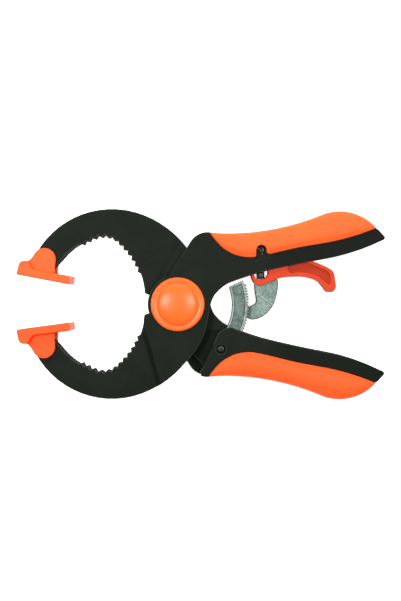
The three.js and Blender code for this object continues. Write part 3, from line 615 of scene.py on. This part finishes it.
def tooth_tree(material):
    """Ratchet teeth round the pivot: one wedge, bent to the circle and repeated a step at a time."""
    tree = Tree("ratchet teeth")
    count = tree.input("Teeth", "NodeSocketInt", 12)
    step = tree.input("Tooth step", "NodeSocketFloat", 0.04)
    first = tree.input("First face", "NodeSocketFloat", 0.0)
    span = tree.input("Span", "NodeSocketFloat", 0.04)
    face = tree.input("Face radius", "NodeSocketFloat", 0.043)
    far = tree.input("Far radius", "NodeSocketFloat", 0.042)
    base = tree.input("Base radius", "NodeSocketFloat", 0.041)
    thick = tree.input("Thickness", "NodeSocketFloat", 0.007)
    height = tree.input("Middle height", "NodeSocketFloat", 0.013)
    block = tree.node("GeometryNodeMeshCube", Size=(1, 1, 1))
    at = tree.node("ShaderNodeSeparateXYZ", Vector=tree.node("GeometryNodeInputPosition").outputs[0])
    along = tree.sum("ADD", at.outputs[1], 0.5)
    across = tree.sum("ADD", at.outputs[0], 0.5)
    edge = tree.sum("ADD", face, tree.sum("MULTIPLY", along, tree.sum("SUBTRACT", far, face)))
    radius = tree.sum("ADD", base, tree.sum("MULTIPLY", across, tree.sum("SUBTRACT", edge, base)))
    angle = tree.sum("MULTIPLY", along, span)
    bent = tree.node(
        "ShaderNodeCombineXYZ",
        X=tree.sum("MULTIPLY", radius, tree.sum("COSINE", angle)),
        Y=tree.sum("MULTIPLY", radius, tree.sum("SINE", angle)),
        Z=tree.sum("ADD", height, tree.sum("MULTIPLY", at.outputs[2], thick)),
    )
    tooth = tree.node("GeometryNodeSetPosition", Geometry=block.outputs[0], Position=bent.outputs[0])
    points = tree.node("GeometryNodePoints", Count=count, Position=(0, 0, 0))
    index = tree.node("GeometryNodeInputIndex").outputs[0]
    turn = tree.node(
        "ShaderNodeCombineXYZ", Z=tree.sum("SUBTRACT", first, tree.sum("MULTIPLY", index, step))
    )
    spin = tree.node("FunctionNodeEulerToRotation", Euler=turn.outputs[0])
    row = tree.node(
        "GeometryNodeInstanceOnPoints", Points=points.outputs[0], Instance=tooth.outputs[0], Rotation=spin.outputs[0]
    )
    both = tree.node("GeometryNodeJoinGeometry", Geometry=[row.outputs[0], tree.entry.outputs["Geometry"]])
    tree.close(both.outputs[0], material)
    return tree


def wire_tree(material):
    """Round wire drawn along the path that the object's edges make."""
    tree = Tree("drawn wire")
    radius = tree.input("Wire radius", "NodeSocketFloat", 0.001)
    sides = tree.input("Sides", "NodeSocketInt", 14)
    path = tree.node("GeometryNodeMeshToCurve", Mesh=tree.entry.outputs["Geometry"])
    ring = tree.node("GeometryNodeCurvePrimitiveCircle", Resolution=sides, Radius=radius)
    made = tree.node("GeometryNodeCurveToMesh", Curve=path.outputs[0], Profile_Curve=ring.outputs[0], Fill_Caps=True)
    tree.close(made.outputs[0], material)
    return tree


# ------------------------------------------------------------------ shapes of the handle

GRIP_EDGE = smooth([
    (18.9, 43.1), (20.8, 40.1), (26.2, 34.2), (33.3, 30.0), (41.5, 28.3), (50.0, 29.2),
    (71.2, 34.1), (92.8, 38.1), (107.0, 42.0), (GRIP_TO, 46.2),
], 90)


def handle_back(x):
    """Height of the handle's back: a hollow for the palm, then the swell near the tail."""
    palm = 193.8 - math.sqrt(150.9 ** 2 - (min(x, 91.0) - 28.2) ** 2)
    if x < 85:
        return palm
    swell = 29.5 + math.sqrt(27.1 ** 2 - (max(x, 85.0) - 96.8) ** 2)
    return palm + (swell - palm) * ease(x, 85.0, 91.0)


def shell_back(x, web):
    """Height of the nylon shell's back, which the cushion wraps."""
    return handle_back(x) - web * ease(x, GRIP_FROM, 25.0) * ease(GRIP_TO - x, 0.0, 8.0)


# Across the cushion, from its lower edge to the middle of its back: how far in from the edge,
# how far down from the back, and how high.
CUSHION_RIM = [(0.0, 0.0), (0.04, 0.45), (0.16, 0.9), (0.42, 1.3), (0.8, 1.55), (1.2, 1.72), (1.7, 1.95)]
CUSHION_CROWN = [(2.5, 2.3), (3.6, 2.65), (5.0, 2.95), (6.8, 3.15)]
CUSHION_BACK = [(6.8, 3.1), (4.8, 2.85), (3.2, 2.4), (1.8, 1.5), (0.8, 0.1), (0.25, -2.2), (0.05, -5.0)]
CUSHION_TOP = 3.6
CUSHION_SEAT = 0.08  # gap under the cushion
TIP_GAP = 0.02  # and at its two tips


def cushion_section(x, props):
    """Points (y, z) once round the cushion at x, clockwise from its front lower edge."""
    low = height_on(GRIP_EDGE, x)
    back = handle_back(x)
    tall = max(0.02, back - low)
    tuck, rise, shrink = min(1.0, tall / 4), min(1.0, tall / 3), min(1.0, tall / 18.0)
    lift = min(1.0, math.sqrt(tall / 14.0))
    seat = ARM_HALF + CUSHION_SEAT
    front = [(low + run * tuck, seat + up * rise) for run, up in CUSHION_RIM]
    front += [(low + run * shrink, seat + max(0.9, up * lift + 0.3) * rise) for run, up in CUSHION_CROWN]
    front.append(((low + back) / 2, seat + CUSHION_TOP * lift * rise))
    for drop, up in CUSHION_BACK:
        front.append((back - drop * shrink, seat + ((up + 0.3) * lift * rise if up > 0 else up)))
    middle = [(back, 0.0)]
    rear = [(y, -z) for y, z in reversed(front)]
    web = max(low + 0.01, shell_back(x, props.web) + 0.05)
    inside = [(web, -seat), (web, seat)]
    return front + middle + rear + inside


def cushion(bm, props):
    """The whole cushion: sections joined along the handle and closed at the tips."""
    span = props.sections
    rings = []
    for i in range(span + 1):
        t = (1 - math.cos(math.pi * i / span)) / 2
        t = 0.35 * t + 0.65 * i / span
        x = GRIP_FROM + TIP_GAP + (GRIP_TO - GRIP_FROM - 2 * TIP_GAP) * t
        rings.append([bm.verts.new((x, y, z)) for y, z in cushion_section(x, props)])
    for first, second in zip(rings, rings[1:]):
        bridge(bm, first, second)
    for ring, flipped in ((rings[0], True), (rings[-1], False)):
        bm.faces.new(reversed(ring) if flipped else ring)


def latch_notch(grow):
    """Outline of the boss that stands up through the cushion round the latch rivet."""
    x, y = LATCH
    r = 2.9 + grow
    return [
        (x + r, y), (x + r, 31.2 + grow), (54.9 + grow, 29.8), (55.3 + grow, 27.6), (x - r, 26.0), (x - r, y),
        *arc(r, 180, 0, x, y, step=10)[1:-1],
    ]


def cut_away(mesh, tool_bm, name):
    """The mesh less a tool given in millimetres, as a new mesh."""
    body = set_out(name + "_body", mesh)
    tool = set_out(name + "_tool", in_frame(name + "_tool", tool_bm, merged=False))
    modifier = body.modifiers.new("cut", "BOOLEAN")
    modifier.operation = "DIFFERENCE"
    modifier.solver = "EXACT"
    modifier.object = tool
    made = evaluated_mesh(body, name)
    for piece in (body, tool):
        bpy.data.objects.remove(piece)
    return made


# ------------------------------------------------------------------ shapes of the castings

RACK_IN = 32.6  # radius of the rack's inner side
RACK_TOP = 19.3  # angles, in degrees, of the rack's top, of its lower end and of its tail's end
RACK_LOW = -33.0
RACK_TAIL = -51.0
RACK_LEAN = 1.6  # degrees by which the outer side runs on past the inner one at the top
RACK_SINK = 0.8  # depth of the rack's sunk panels
SCREW = (26.0, -26.7)  # place of the rack's screw
SCREW_SUNK = 0.3  # depth of its head below the arm's face
CROSS_TURN = (0.9, 0.43)  # direction of its cross recess
CROSS_DEEP = 0.8
RIVET_PROUD = 1.0  # height of the latch rivet's ends over the arm's face
CROSS = (49.8, 17.7)  # place of the pawl's cross pin
PAWL_HALF = 3.4  # half of the pawl's thickness
MESH_FACE = -1.4  # degrees of the tooth face that the pawl rests on
MESH_PLAY = 0.3  # clearance between the two rows of teeth
MESH_EASE = math.radians(0.17)  # and between their faces
PAWL_TEETH = 4


def rack_section(angle, props, shrink):
    """Points (radius, z) round the bar at an angle, with a sunk panel on both faces."""
    inner = RACK_IN + 2.0 * ease(-angle, 27.0, 33.0)
    outer = props.tip - props.depth
    half, edge = props.half, props.edge
    sink = RACK_SINK * ease(RACK_TOP - 1.7 - angle, 0.0, 0.7)
    side = [
        (inner, half - edge), (inner + edge * 0.3, half - edge * 0.3), (inner + edge, half),
        (inner + 1.2, half), (inner + 1.6, half - sink), (outer - 1.6, half - sink), (outer - 1.2, half),
        (outer - edge, half), (outer - edge * 0.3, half - edge * 0.3), (outer, half - edge),
    ]
    loop = side + [(r, -z) for r, z in reversed(side)]
    middle = (inner + outer) / 2
    return [(middle + (r - middle) * shrink, z * shrink) for r, z in loop]


def rack_bar(bm, props):
    """The rack without its teeth, with the tail that its screw holds and the marks in its panel."""
    angles = [RACK_LOW + (RACK_TOP - 3.0 - RACK_LOW) * i / 40 for i in range(41)]
    angles += [RACK_TOP - d for d in (2.6, 2.3, 2.0, 1.7, 1.2, 0.45, 0.25, 0.1, 0.0)]
    rings = []
    for angle in angles:
        shrink = 1 - 0.09 * ease(angle, RACK_TOP - 0.45, RACK_TOP) ** 2
        ring = []
        for r, z in rack_section(angle, props, shrink):
            lean = RACK_LEAN * (r - RACK_IN) / (props.tip - RACK_IN) * ease(angle, 12.0, RACK_TOP)
            turn = math.radians(angle + lean)
            ring.append(bm.verts.new((r * math.cos(turn), r * math.sin(turn), z)))
        rings.append(ring)
    for first, second in zip(rings, rings[1:]):
        bridge(bm, first, second)
    bm.faces.new(rings[0])
    bm.faces.new(reversed(rings[-1]))
    tail = [*arc(34.6, RACK_LOW + 1, RACK_TAIL), *arc(41.0, RACK_TAIL, RACK_LOW + 1)]
    slab(bm, tail, -props.half, props.half, props.edge, [arc(1.8, 0, 345, *SCREW, step=15)])
    floor = props.half - RACK_SINK
    turned(bm, [(0, floor - 0.3), (1.8, floor - 0.3), (1.8, floor + 0.1), (1.6, floor + 0.25), (0, floor + 0.25)],
           32, (36.4, 7.9))
    slab(bm, [(35.4, -8.1), (36.3, -8.4), (36.5, -7.5), (35.6, -7.2)], floor - 0.3, floor + 0.45, 0.1)


def pawl_body(bm, props):
    """The hook with its rib, and the thinner neck that leaves room for the latch spring."""
    half, edge = PAWL_HALF, props.edge * 1.6
    hook = smooth([
        (46.6, 14.6), (46.0, 12.2), (46.3, 8.5), (46.8, 5.5), (47.2, 2.9), (46.9, 1.2), (45.8, 0.1), (44.5, -0.3),
    ], 18)
    seat = arc(43.7, -1.0, -10.9, step=2.0)
    back = smooth([
        (43.6, -8.8), (45.2, -9.0), (48.0, -8.5), (50.4, -7.5), (52.9, -5.8), (55.3, -3.4), (57.3, -0.5),
        (58.8, 3.0), (60.0, 8.5), (60.3, 12.5), (60.1, 15.2),
    ], 26)
    lower = [(47.3, 27.4), (47.5, 15.6), *hook, *seat, *back, (57.4, 16.4), (54.8, 15.0), (52.1, 15.0), (51.9, 27.4)]
    slab(bm, lower, -half, half, edge, [arc(1.5, 0, 345, *CROSS, step=15)])
    x, y = LATCH
    upper = [*arc(4.2, 0, 180, x, y, step=8), (x - 2.3, y - 6), (x - 2.3, 25.0), (x + 2.3, 25.0), (x + 2.3, y - 6)]
    slab(bm, upper, -0.8, half, edge, [arc(2.2, 0, 345, x, y, step=15)])
    start, end = Vector((47.2, 7.0)), Vector((57.2, 0.0))
    side = (end - start).normalized()
    side = Vector((-side.y, side.x)) * 0.48
    rib = [tuple(p) for p in (start + side, start - side, end - side, end + side)]
    for sign in (1, -1):
        slab(bm, rib, *sorted((sign * (half - 0.3), sign * (half + 0.42))), 0.08)


def toothed(name, bm, node, material, tree, values):
    """A casting joined to its row of ratchet teeth."""
    blank = set_out(name, in_frame(name, bm))
    made = tree.run(blank, **values)
    bpy.data.objects.remove(blank)
    bm = bmesh.new()
    bm.from_mesh(made)
    bmesh.ops.recalc_face_normals(bm, faces=bm.faces)
    bm.to_mesh(made)
    bm.free()
    return as_piece(name, made, material, node, 32)


def wound(name, node, tree, material, thickness, radius, turns, pitch, start, legs, centre):
    """A torsion spring wound along its path, with a straight leg at each end."""
    leg, end_leg = legs
    x, y, z = centre
    length = 2 * math.pi * turns * radius
    count = int(72 * turns)
    reach = [-leg] + [length * i / count for i in range(count + 1)] + [length + end_leg]
    bm = bmesh.new()
    last = None
    for s in reach:
        on = min(max(s, 0.0), length)
        over = s - on
        a = math.radians(start) + on / radius
        here = bm.verts.new((
            x + radius * math.cos(a) - over * math.sin(a), y + radius * math.sin(a) + over * math.cos(a),
            z + (on / length - 0.5) * turns * pitch,
        ))
        if last:
            bm.edges.new((last, here))
        last = here
    bm.transform(TO_FRAME)
    blank = set_out(name, kept_mesh(name, bm))
    made = tree.run(blank, Wire_radius=thickness * MM / 2, Sides=16)
    bpy.data.objects.remove(blank)
    return as_piece(name, made, material, node, 50)


# ------------------------------------------------------------------ shapes of the pads

SKIN_PASSES = 9  # smoothing passes over a pad's skin
EAR = (6.8, -0.6, -0.4)  # radius and centre of the ears, from the pin
EAR_IN, EAR_OUT = 5.8, 8.0  # inner and outer sides of the ears, from the middle
PAD_FACE = -12.4  # the clamping face and the back of the sole, from the pin
PAD_SHELF = -7.6
PAD_POSES = (  # piece, side of the clamp, turn over, tilt in degrees and extra reach of the sole
    ("upper_pad", 1, 0, -10.2, 0.0),
    ("lower_pad", -1, math.pi, -8.0, 0.9),
)


def pad_shoe(bm, drop):
    """Overlapping blocks of a swivel pad about its pin, face down and with the thick lip at the left."""
    face, shelf = PAD_FACE - drop, PAD_SHELF - drop
    sole = [
        (-14.5, face), (17.0, face), (16.8, shelf + 0.2), (-5.0, shelf - 0.2), (-6.6, -6.5 - drop),
        (-7.8, -4.7 - drop), (-9.3, -3.3 - drop), (-11.4, -3.3 - drop), (-13.4, -4.2 - drop), (-14.3, -6.2 - drop),
    ]
    slab(bm, sole, -HALF_THICK, HALF_THICK, 0.5)
    radius, x, y = EAR
    ear = arc(radius, 0, 165, x, y - drop / 2)
    cheek = [*ear, (-8.4, -1.2 - drop / 2), (-9.6, -2.6 - drop), (-11.4, -3.4 - drop), (-11.0, shelf - 1.4),
             (7.2, shelf - 1.4), (6.4, -5.0)]
    stub = [(0, 0.0), (2.1, 0.0), (2.4, 0.3), (2.4, 2.5), (0, 2.5)]
    for sign in (1, -1):
        slab(bm, cheek, *sorted((sign * EAR_IN, sign * EAR_OUT)), 0.2)
        turned(bm, [(r, sign * (3.8 + z)) for r, z in stub], 32)


def moulded(name, bm, material, node, place, grain_mm, keep):
    """Overlapping blocks grown into one soft-edged moulding."""
    bmesh.ops.recalc_face_normals(bm, faces=bm.faces)
    bmesh.ops.scale(bm, vec=(MM, MM, MM), verts=bm.verts)
    blank = set_out(name, kept_mesh(name, bm))
    grow = blank.modifiers.new("one skin", "REMESH")
    grow.mode = "VOXEL"
    grow.voxel_size = grain_mm * MM
    soft = blank.modifiers.new("soft edges", "SMOOTH")
    soft.factor = 0.5
    soft.iterations = SKIN_PASSES
    thin = blank.modifiers.new("fewer faces", "DECIMATE")
    thin.ratio = keep
    made = evaluated_mesh(blank, name)
    bpy.data.objects.remove(blank)
    made.transform(Matrix.Translation((0, 0, PIVOT_Z)) @ place)
    return as_piece(name, made, material, node, 180)


# ------------------------------------------------------------------ sizes and colours

def size(name, text, default, low=0.0, high=200.0):
    return FloatProperty(name=name, description=text, default=default, min=low, max=high, precision=2)


def paint(name, text, default):
    return FloatVectorProperty(name=name, description=text, default=default, size=3, subtype="COLOR", min=0, max=1)


class ArmSizes(bpy.types.PropertyGroup):
    edge: size("Edge radius", "Rounding of the moulded arms' edges, in millimetres", 0.45, 0.05, 2)
    colour: paint("Nylon", "Colour of the moulded arms", (0.0058, 0.0086, 0.0053))


class GripSizes(bpy.types.PropertyGroup):
    web: size("Web", "Thickness of the cushion over the handle's back, in millimetres", 3.3, 1, 6)
    sections: IntProperty(name="Sections", description="Sections along a cushion", default=110, min=20, max=400)
    colour: paint("Cushion", "Colour of the soft cushions", (0.88, 0.108, 0.020))


class CapSizes(bpy.types.PropertyGroup):
    radius: size("Radius", "Radius of the pivot caps, in millimetres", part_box("front_cap")[1].x / MM, 5, 40)
    dome: size("Dome radius", "Radius of the raised middle, in millimetres", 12.2, 4, 30)
    flange: size("Flange", "Thickness of the front cap's flange, in millimetres", 1.6, 0.5, 4)
    colour: paint("Cap", "Colour of the pivot caps", (0.9, 0.118, 0.0125))


class PadSizes(bpy.types.PropertyGroup):
    grain: size("Grain", "Grid that the pads' blocks are joined on, in millimetres", 0.36, 0.2, 2)
    keep: FloatProperty(name="Kept faces", description="Share of the grid's faces kept", default=0.3, min=0.01, max=1)
    colour: paint("Pad", "Colour of the swivel pads", (0.88, 0.095, 0.017))


class LeverSizes(bpy.types.PropertyGroup):
    edge: size("Edge radius", "Rounding of the lever's edges, in millimetres", 0.4, 0.05, 2)
    colour: paint("Lever", "Colour of the release lever", (0.5, 0.035, 0.0065))


class RatchetSizes(bpy.types.PropertyGroup):
    step: FloatProperty(
        name="Tooth step", description="Angle from one tooth to the next", default=math.radians(2.4),
        subtype="ANGLE", unit="ROTATION", min=0.01, max=0.2,
    )
    teeth: IntProperty(name="Rack teeth", description="Teeth on the rack", default=20, min=3, max=60)
    tip: size("Tip radius", "Distance of the tooth tips from the pivot, in millimetres", 43.1, 20, 80)
    depth: size("Tooth depth", "Height of a tooth, in millimetres", 1.4, 0.3, 4)
    half: size("Half thickness", "Half of the rack's thickness, in millimetres", 3.6, 1, 8)
    edge: size("Edge radius", "Rounding of the castings' edges, in millimetres", 0.3, 0.05, 1)
    colour: paint("Zinc", "Colour of the die-cast rack and pawl", (0.104, 0.138, 0.123))


class SteelSizes(bpy.types.PropertyGroup):
    wire: size("Main wire", "Diameter of the main spring's wire, in millimetres", 2.0, 0.5, 4)
    coil: size("Main coil", "Mean radius of the main spring, in millimetres", 8.6, 4, 20)
    latch_wire: size("Latch wire", "Diameter of the latch spring's wire, in millimetres", 0.8, 0.2, 2)
    latch_coil: size("Latch coil", "Mean radius of the latch spring, in millimetres", 3.3, 1, 8)
    dark: paint("Blackened steel", "Colour of the rivet and screw", (0.03, 0.03, 0.03))
    bright: paint("Plated steel", "Colour of the pins, springs and washers", (0.55, 0.56, 0.56))


class StageSizes(bpy.types.PropertyGroup):
    height: size("Camera height", "Camera distance from the clamp's middle, in millimetres", 565.0, 100, 3000)
    key: size("Left light", "Power of the left softbox, in watts", 1.9, 0, 100)
    fill: size("Right light", "Power of the right softbox, in watts", 1.6, 0, 100)
    top: size("Top light", "Power of the softbox beyond the clamp, in watts", 3.0, 0, 100)
    sky: size("Surround", "Strength of the white surround", 0.6, 0, 5)
    floor: paint("Floor", "Colour of the floor", (0.92, 0.92, 0.92))


VIEW_TALL = 363.8454  # height of the view at the clamp's middle
VIEW_MIDDLE = (13.61, 2.36)
VIEW_TURN = math.radians(0.344)
SENSOR = 36  # width of the camera's sensor
FLOOR_REACH = 3.0  # metres from the middle to the floor's edge
SOFTBOXES = (  # name, size that holds its power, place, width and depth in metres
    ("left softbox", "key", (-0.2, 0.06, 0.5), 0.12, 0.18),
    ("right softbox", "fill", (0.2, 0.06, 0.5), 0.12, 0.18),
    ("top softbox", "top", (0.0, 0.6, 0.42), 0.8, 0.3),
)

GROUPS = {
    "arms": ArmSizes, "grips": GripSizes, "caps": CapSizes, "pads": PadSizes, "lever": LeverSizes,
    "ratchet": RatchetSizes, "steel": SteelSizes, "stage": StageSizes,
}


def sizes(context, name):
    return getattr(context.scene, "clamp_" + name)


# ------------------------------------------------------------------ operators

class CLAMP_OT_arms(bpy.types.Operator):
    """Round the edges of the two moulded arms and give them their nylon"""
    bl_idname = "clamp.arms"
    bl_label = "Arms"

    def execute(self, context):
        props = sizes(context, "arms")
        nylon = moulded_nylon(props.colour)
        softened("arm_with_lower_jaw", "front_arm", nylon, props.edge)
        softened("arm_with_upper_jaw", "rear_arm", nylon, props.edge)
        return {"FINISHED"}


class CLAMP_OT_grips(bpy.types.Operator):
    """Mould the two soft cushions onto the handles"""
    bl_idname = "clamp.grips"
    bl_label = "Grips"

    def execute(self, context):
        props = sizes(context, "grips")
        rubber = moulded_orange("orange_grip", props.colour, 0.5, 0.5, 0.03, shade_below_pivot=0.8)
        bm = bmesh.new()
        cushion(bm, props)
        finished("lower_cushion", bm, rubber, "lower_grip", TURN_OVER, 50)
        bm = bmesh.new()
        cushion(bm, props)
        whole = in_frame("cushion", bm, merged=False)
        tool = bmesh.new()
        slab(tool, latch_notch(0.25), -HALF_THICK - 2, HALF_THICK + 2, 0.0)
        as_piece("upper_cushion", cut_away(whole, tool, "upper_cushion"), rubber, "upper_grip", 50)
        return {"FINISHED"}


class CLAMP_OT_caps(bpy.types.Operator):
    """Turn the domed front cap and the flat rear cap"""
    bl_idname = "clamp.caps"
    bl_label = "Pivot caps"

    def execute(self, context):
        props = sizes(context, "caps")
        gloss = moulded_orange("orange_gloss", props.colour, 0.3, 4.0, 0.002, specular=0.28)
        seat = ARM_HALF + 0.12
        top = seat + 0.2 + props.flange
        r = props.radius
        dome = [(props.dome * math.sin(a), top - 0.35 + (HALF_THICK - top + 0.35) * math.cos(a) ** 0.8)
                for a in [math.pi / 2 * k / 14 for k in range(14, -1, -1)]]
        front = [(0, seat), (r - 0.4, seat), (r, seat + 0.4), (r, top - 0.8), (r - 0.8, top), (r - 1.2, top + 0.02)]
        front += [(props.dome + 1.5, top - 0.02), (props.dome + 0.5, top - 0.3), *dome[1:]]
        bm = bmesh.new()
        turned(bm, rounded_profile(front, 0.5))
        finished("front_cap_dome", bm, gloss, "front_cap", smooth_angle=60)
        rear = [(0, seat), (r - 0.4, seat), (r, seat + 0.4), (r, HALF_THICK - 1.4), (r - 1.4, HALF_THICK)]
        rear += [(6.0, HALF_THICK), (5.6, HALF_THICK - 0.4), (0, HALF_THICK - 0.4)]
        bm = bmesh.new()
        turned(bm, rounded_profile(rear, 0.45))
        finished("rear_cap_disc", bm, gloss, "rear_cap", TURN_OVER, 60)
        return {"FINISHED"}


class CLAMP_OT_pads(bpy.types.Operator):
    """Mould the two swivel pads, with their lips and ears run into one another"""
    bl_idname = "clamp.pads"
    bl_label = "Pads"

    def execute(self, context):
        props = sizes(context, "pads")
        satin = moulded_orange("orange_pad", props.colour, 0.5, 0.6, 0.03, shade_below_pivot=0.8)
        for name, side, over, tilt, drop in PAD_POSES:
            place = (
                Matrix.Translation((PAD_PIN[0] * MM, side * PAD_PIN[1] * MM, 0))
                @ Matrix.Rotation(over, 4, "X") @ Matrix.Rotation(math.radians(tilt), 4, "Z")
            )
            bm = bmesh.new()
            pad_shoe(bm, drop)
            moulded(name + "_shoe", bm, satin, name, place, props.grain, props.keep)
        return {"FINISHED"}


class CLAMP_OT_lever(bpy.types.Operator):
    """Round the edges of the release lever"""
    bl_idname = "clamp.lever"
    bl_label = "Release lever"

    def execute(self, context):
        props = sizes(context, "lever")
        plastic = moulded_orange("orange_lever", props.colour, 0.5, 0.8, 0.025, shade_sunk_below=5.9)
        softened("finger_lever", "release_lever", plastic, props.edge)
        return {"FINISHED"}


class CLAMP_OT_ratchet(bpy.types.Operator):
    """Cast the ratchet rack and the pawl that holds it"""
    bl_idname = "clamp.ratchet"
    bl_label = "Rack and pawl"

    def execute(self, context):
        props = sizes(context, "ratchet")
        tip, root = props.tip * MM, (props.tip - props.depth) * MM
        first = math.radians(MESH_FACE)
        up = math.floor((math.radians(RACK_TOP - 1.4) - first) / props.step)
        zinc = cast_zinc(props.colour)
        bm = bmesh.new()
        rack_bar(bm, props)
        toothed("rack_casting", bm, "ratchet_rack", zinc, tooth_tree(zinc), dict(
            Teeth=props.teeth, Tooth_step=props.step, First_face=first + (up - 1) * props.step, Span=props.step,
            Face_radius=tip, Far_radius=root, Base_radius=root - 0.5 * MM, Thickness=2 * (props.half - 0.1) * MM,
            Middle_height=PIVOT_Z,
        ))
        play = MESH_PLAY * MM
        bm = bmesh.new()
        pawl_body(bm, props)
        toothed("pawl_casting", bm, "pawl", zinc, tooth_tree(zinc), dict(
            Teeth=PAWL_TEETH, Tooth_step=props.step, First_face=first - MESH_EASE, Span=-props.step,
            Face_radius=root + play, Far_radius=tip + play, Base_radius=tip + 1.1 * MM,
            Thickness=2 * (PAWL_HALF - 0.1) * MM, Middle_height=PIVOT_Z,
        ))
        return {"FINISHED"}


class CLAMP_OT_steel(bpy.types.Operator):
    """Wind the springs and turn the pins, screw and washers"""
    bl_idname = "clamp.steel"
    bl_label = "Springs and pins"

    def execute(self, context):
        props = sizes(context, "steel")
        dark = turned_steel("black_steel", props.dark, 0.3)
        bright = turned_steel("plated_steel", props.bright, 0.22)
        tree = wire_tree(bright)
        wound("main_spring_wire", "main_spring", tree, bright, props.wire, props.coil,
              turns=3.5, pitch=props.wire + 0.35, start=90, legs=(9, 9), centre=(0, 0, 0))
        wound("latch_spring_wire", "latch_spring", tree, bright, props.latch_wire, props.latch_coil,
              turns=2, pitch=1.1, start=0, legs=(6.6, 5.6), centre=(*LATCH, -2.4))
        self.rivet(dark)
        self.screw(dark)
        softened("cross_pin", "pawl_pin", dark, 0.25)
        for node in ("rack_nut", "front_washer", "rear_washer", "pivot_bolt", "pivot_nut", "pivot_sleeve"):
            softened(node + "_turned", node, bright, 0.15, 40, 2)
        return {"FINISHED"}

    def rivet(self, dark):
        """The latch rivet, with a shallow dish in each end."""
        end = ARM_HALF + RIVET_PROUD
        half = [(0, end - 0.35), (0.7, end - 0.3), (1.2, end), (1.55, end - 0.05), (1.9, end - 0.5)]
        profile = [*half, *((r, -z) for r, z in reversed(half))]
        bm = bmesh.new()
        turned(bm, profile, 40, LATCH)
        finished("latch_rivet", bm, dark, "latch_pin")

    def screw(self, dark):
        """The rack screw, with a cross recess in its head."""
        top = ARM_HALF - SCREW_SUNK
        profile = [(0, 0.4 - ARM_HALF), (1.5, 0.4 - ARM_HALF), (1.5, top - 1.2), (2.3, top - 1.2),
                   (2.3, top - 0.5), (2.0, top - 0.15), (1.5, top), (0, top + 0.05)]
        bm = bmesh.new()
        turned(bm, profile, 40, SCREW)
        whole = in_frame("rack_screw_blank", bm, merged=False)
        tool = bmesh.new()
        x, y = SCREW
        long, wide = 1.25, 0.27
        cross = [(wide, long), (-wide, long), (-wide, wide), (-long, wide), (-long, -wide), (-wide, -wide),
                 (-wide, -long), (wide, -long), (wide, -wide), (long, -wide), (long, wide), (wide, wide)]
        along, across = CROSS_TURN
        cross = [(x + a * along - b * across, y + a * across + b * along) for a, b in cross]
        slab(tool, cross, top - CROSS_DEEP, top + 1, 0.0)
        as_piece("rack_screw_turned", cut_away(whole, tool, "rack_screw_turned"), dark, "rack_screw")


class CLAMP_OT_stage(bpy.types.Operator):
    """Set the pale floor, the softboxes and the camera straight above the clamp"""
    bl_idname = "clamp.stage"
    bl_label = "Floor, lights and camera"

    def execute(self, context):
        props = sizes(context, "stage")
        scene = context.scene
        scene.view_settings.view_transform = "Standard"
        bm = bmesh.new()
        bmesh.ops.create_grid(bm, x_segments=8, y_segments=8, size=FLOOR_REACH)
        floor = set_out("floor", kept_mesh("floor", bm))
        floor.data.materials.append(pale_floor(props.floor))
        world = bpy.data.worlds.new("white surround")
        scene.world = world
        world.use_nodes = True
        self.surround(world.node_tree, props.sky)
        for name, power, place, width, depth in SOFTBOXES:
            self.softbox(name, place, getattr(props, power), width, depth)
        camera = bpy.data.cameras.new("camera")
        camera.sensor_width = SENSOR
        camera.lens = SENSOR * props.height / VIEW_TALL
        camera.clip_start = 0.01
        shot = set_out("camera", camera)
        shot.location = (VIEW_MIDDLE[0] * MM, VIEW_MIDDLE[1] * MM, PIVOT_Z + props.height * MM)
        shot.rotation_euler = (0, 0, VIEW_TURN)
        scene.camera = shot
        return {"FINISHED"}

    def surround(self, tree, strength):
        """White walls that darken towards the ceiling, where the camera is."""
        place = add_node(tree, "ShaderNodeTexCoord")
        height = add_node(tree, "ShaderNodeSeparateXYZ", Vector=place.outputs["Generated"])
        fade = add_node(
            tree, "ShaderNodeMapRange", Value=height.outputs[2], From_Min=0.25, From_Max=0.85,
            To_Min=strength, To_Max=strength * 0.35,
        )
        background = tree.nodes["Background"]
        background.inputs["Color"].default_value = (1, 1, 1, 1)
        tree.links.new(fade.outputs[0], background.inputs["Strength"])

    def softbox(self, name, place, power, width, depth):
        light = bpy.data.lights.new(name, "AREA")
        light.energy = power
        light.shape = "RECTANGLE"
        light.size = width
        light.size_y = depth
        lamp = set_out(name, light)
        lamp.location = place
        lamp.rotation_euler = (-Vector(place)).to_track_quat("-Z", "Y").to_euler()


OPERATORS = (
    CLAMP_OT_arms, CLAMP_OT_grips, CLAMP_OT_caps, CLAMP_OT_pads, CLAMP_OT_lever, CLAMP_OT_ratchet,
    CLAMP_OT_steel, CLAMP_OT_stage,
)


class CLAMP_PT_build(bpy.types.Panel):
    """Lists the clamp's pieces and their sizes"""
    bl_idname = "CLAMP_PT_build"
    bl_label = "Ratchet spring clamp"
    bl_space_type = "VIEW_3D"
    bl_region_type = "UI"
    bl_category = "Clamp"

    def draw(self, context):
        for operator in OPERATORS:
            box = self.layout.box()
            box.operator(operator.bl_idname)
            group = operator.bl_idname.split(".")[1]
            for key in GROUPS[group].__annotations__:
                box.prop(sizes(context, group), key)


def register():
    for name, group in GROUPS.items():
        bpy.utils.register_class(group)
        setattr(bpy.types.Scene, "clamp_" + name, PointerProperty(type=group))
    for operator in OPERATORS:
        bpy.utils.register_class(operator)
    bpy.utils.register_class(CLAMP_PT_build)


def unregister():
    bpy.utils.unregister_class(CLAMP_PT_build)
    for operator in reversed(OPERATORS):
        bpy.utils.unregister_class(operator)
    for name, group in reversed(GROUPS.items()):
        delattr(bpy.types.Scene, "clamp_" + name)
        bpy.utils.unregister_class(group)


def main():
    register()
    for operator in OPERATORS:
        family, name = operator.bl_idname.split(".")
        getattr(getattr(bpy.ops, family), name)()
    bpy.context.view_layer.update()


if __name__ == "__main__":
    main()
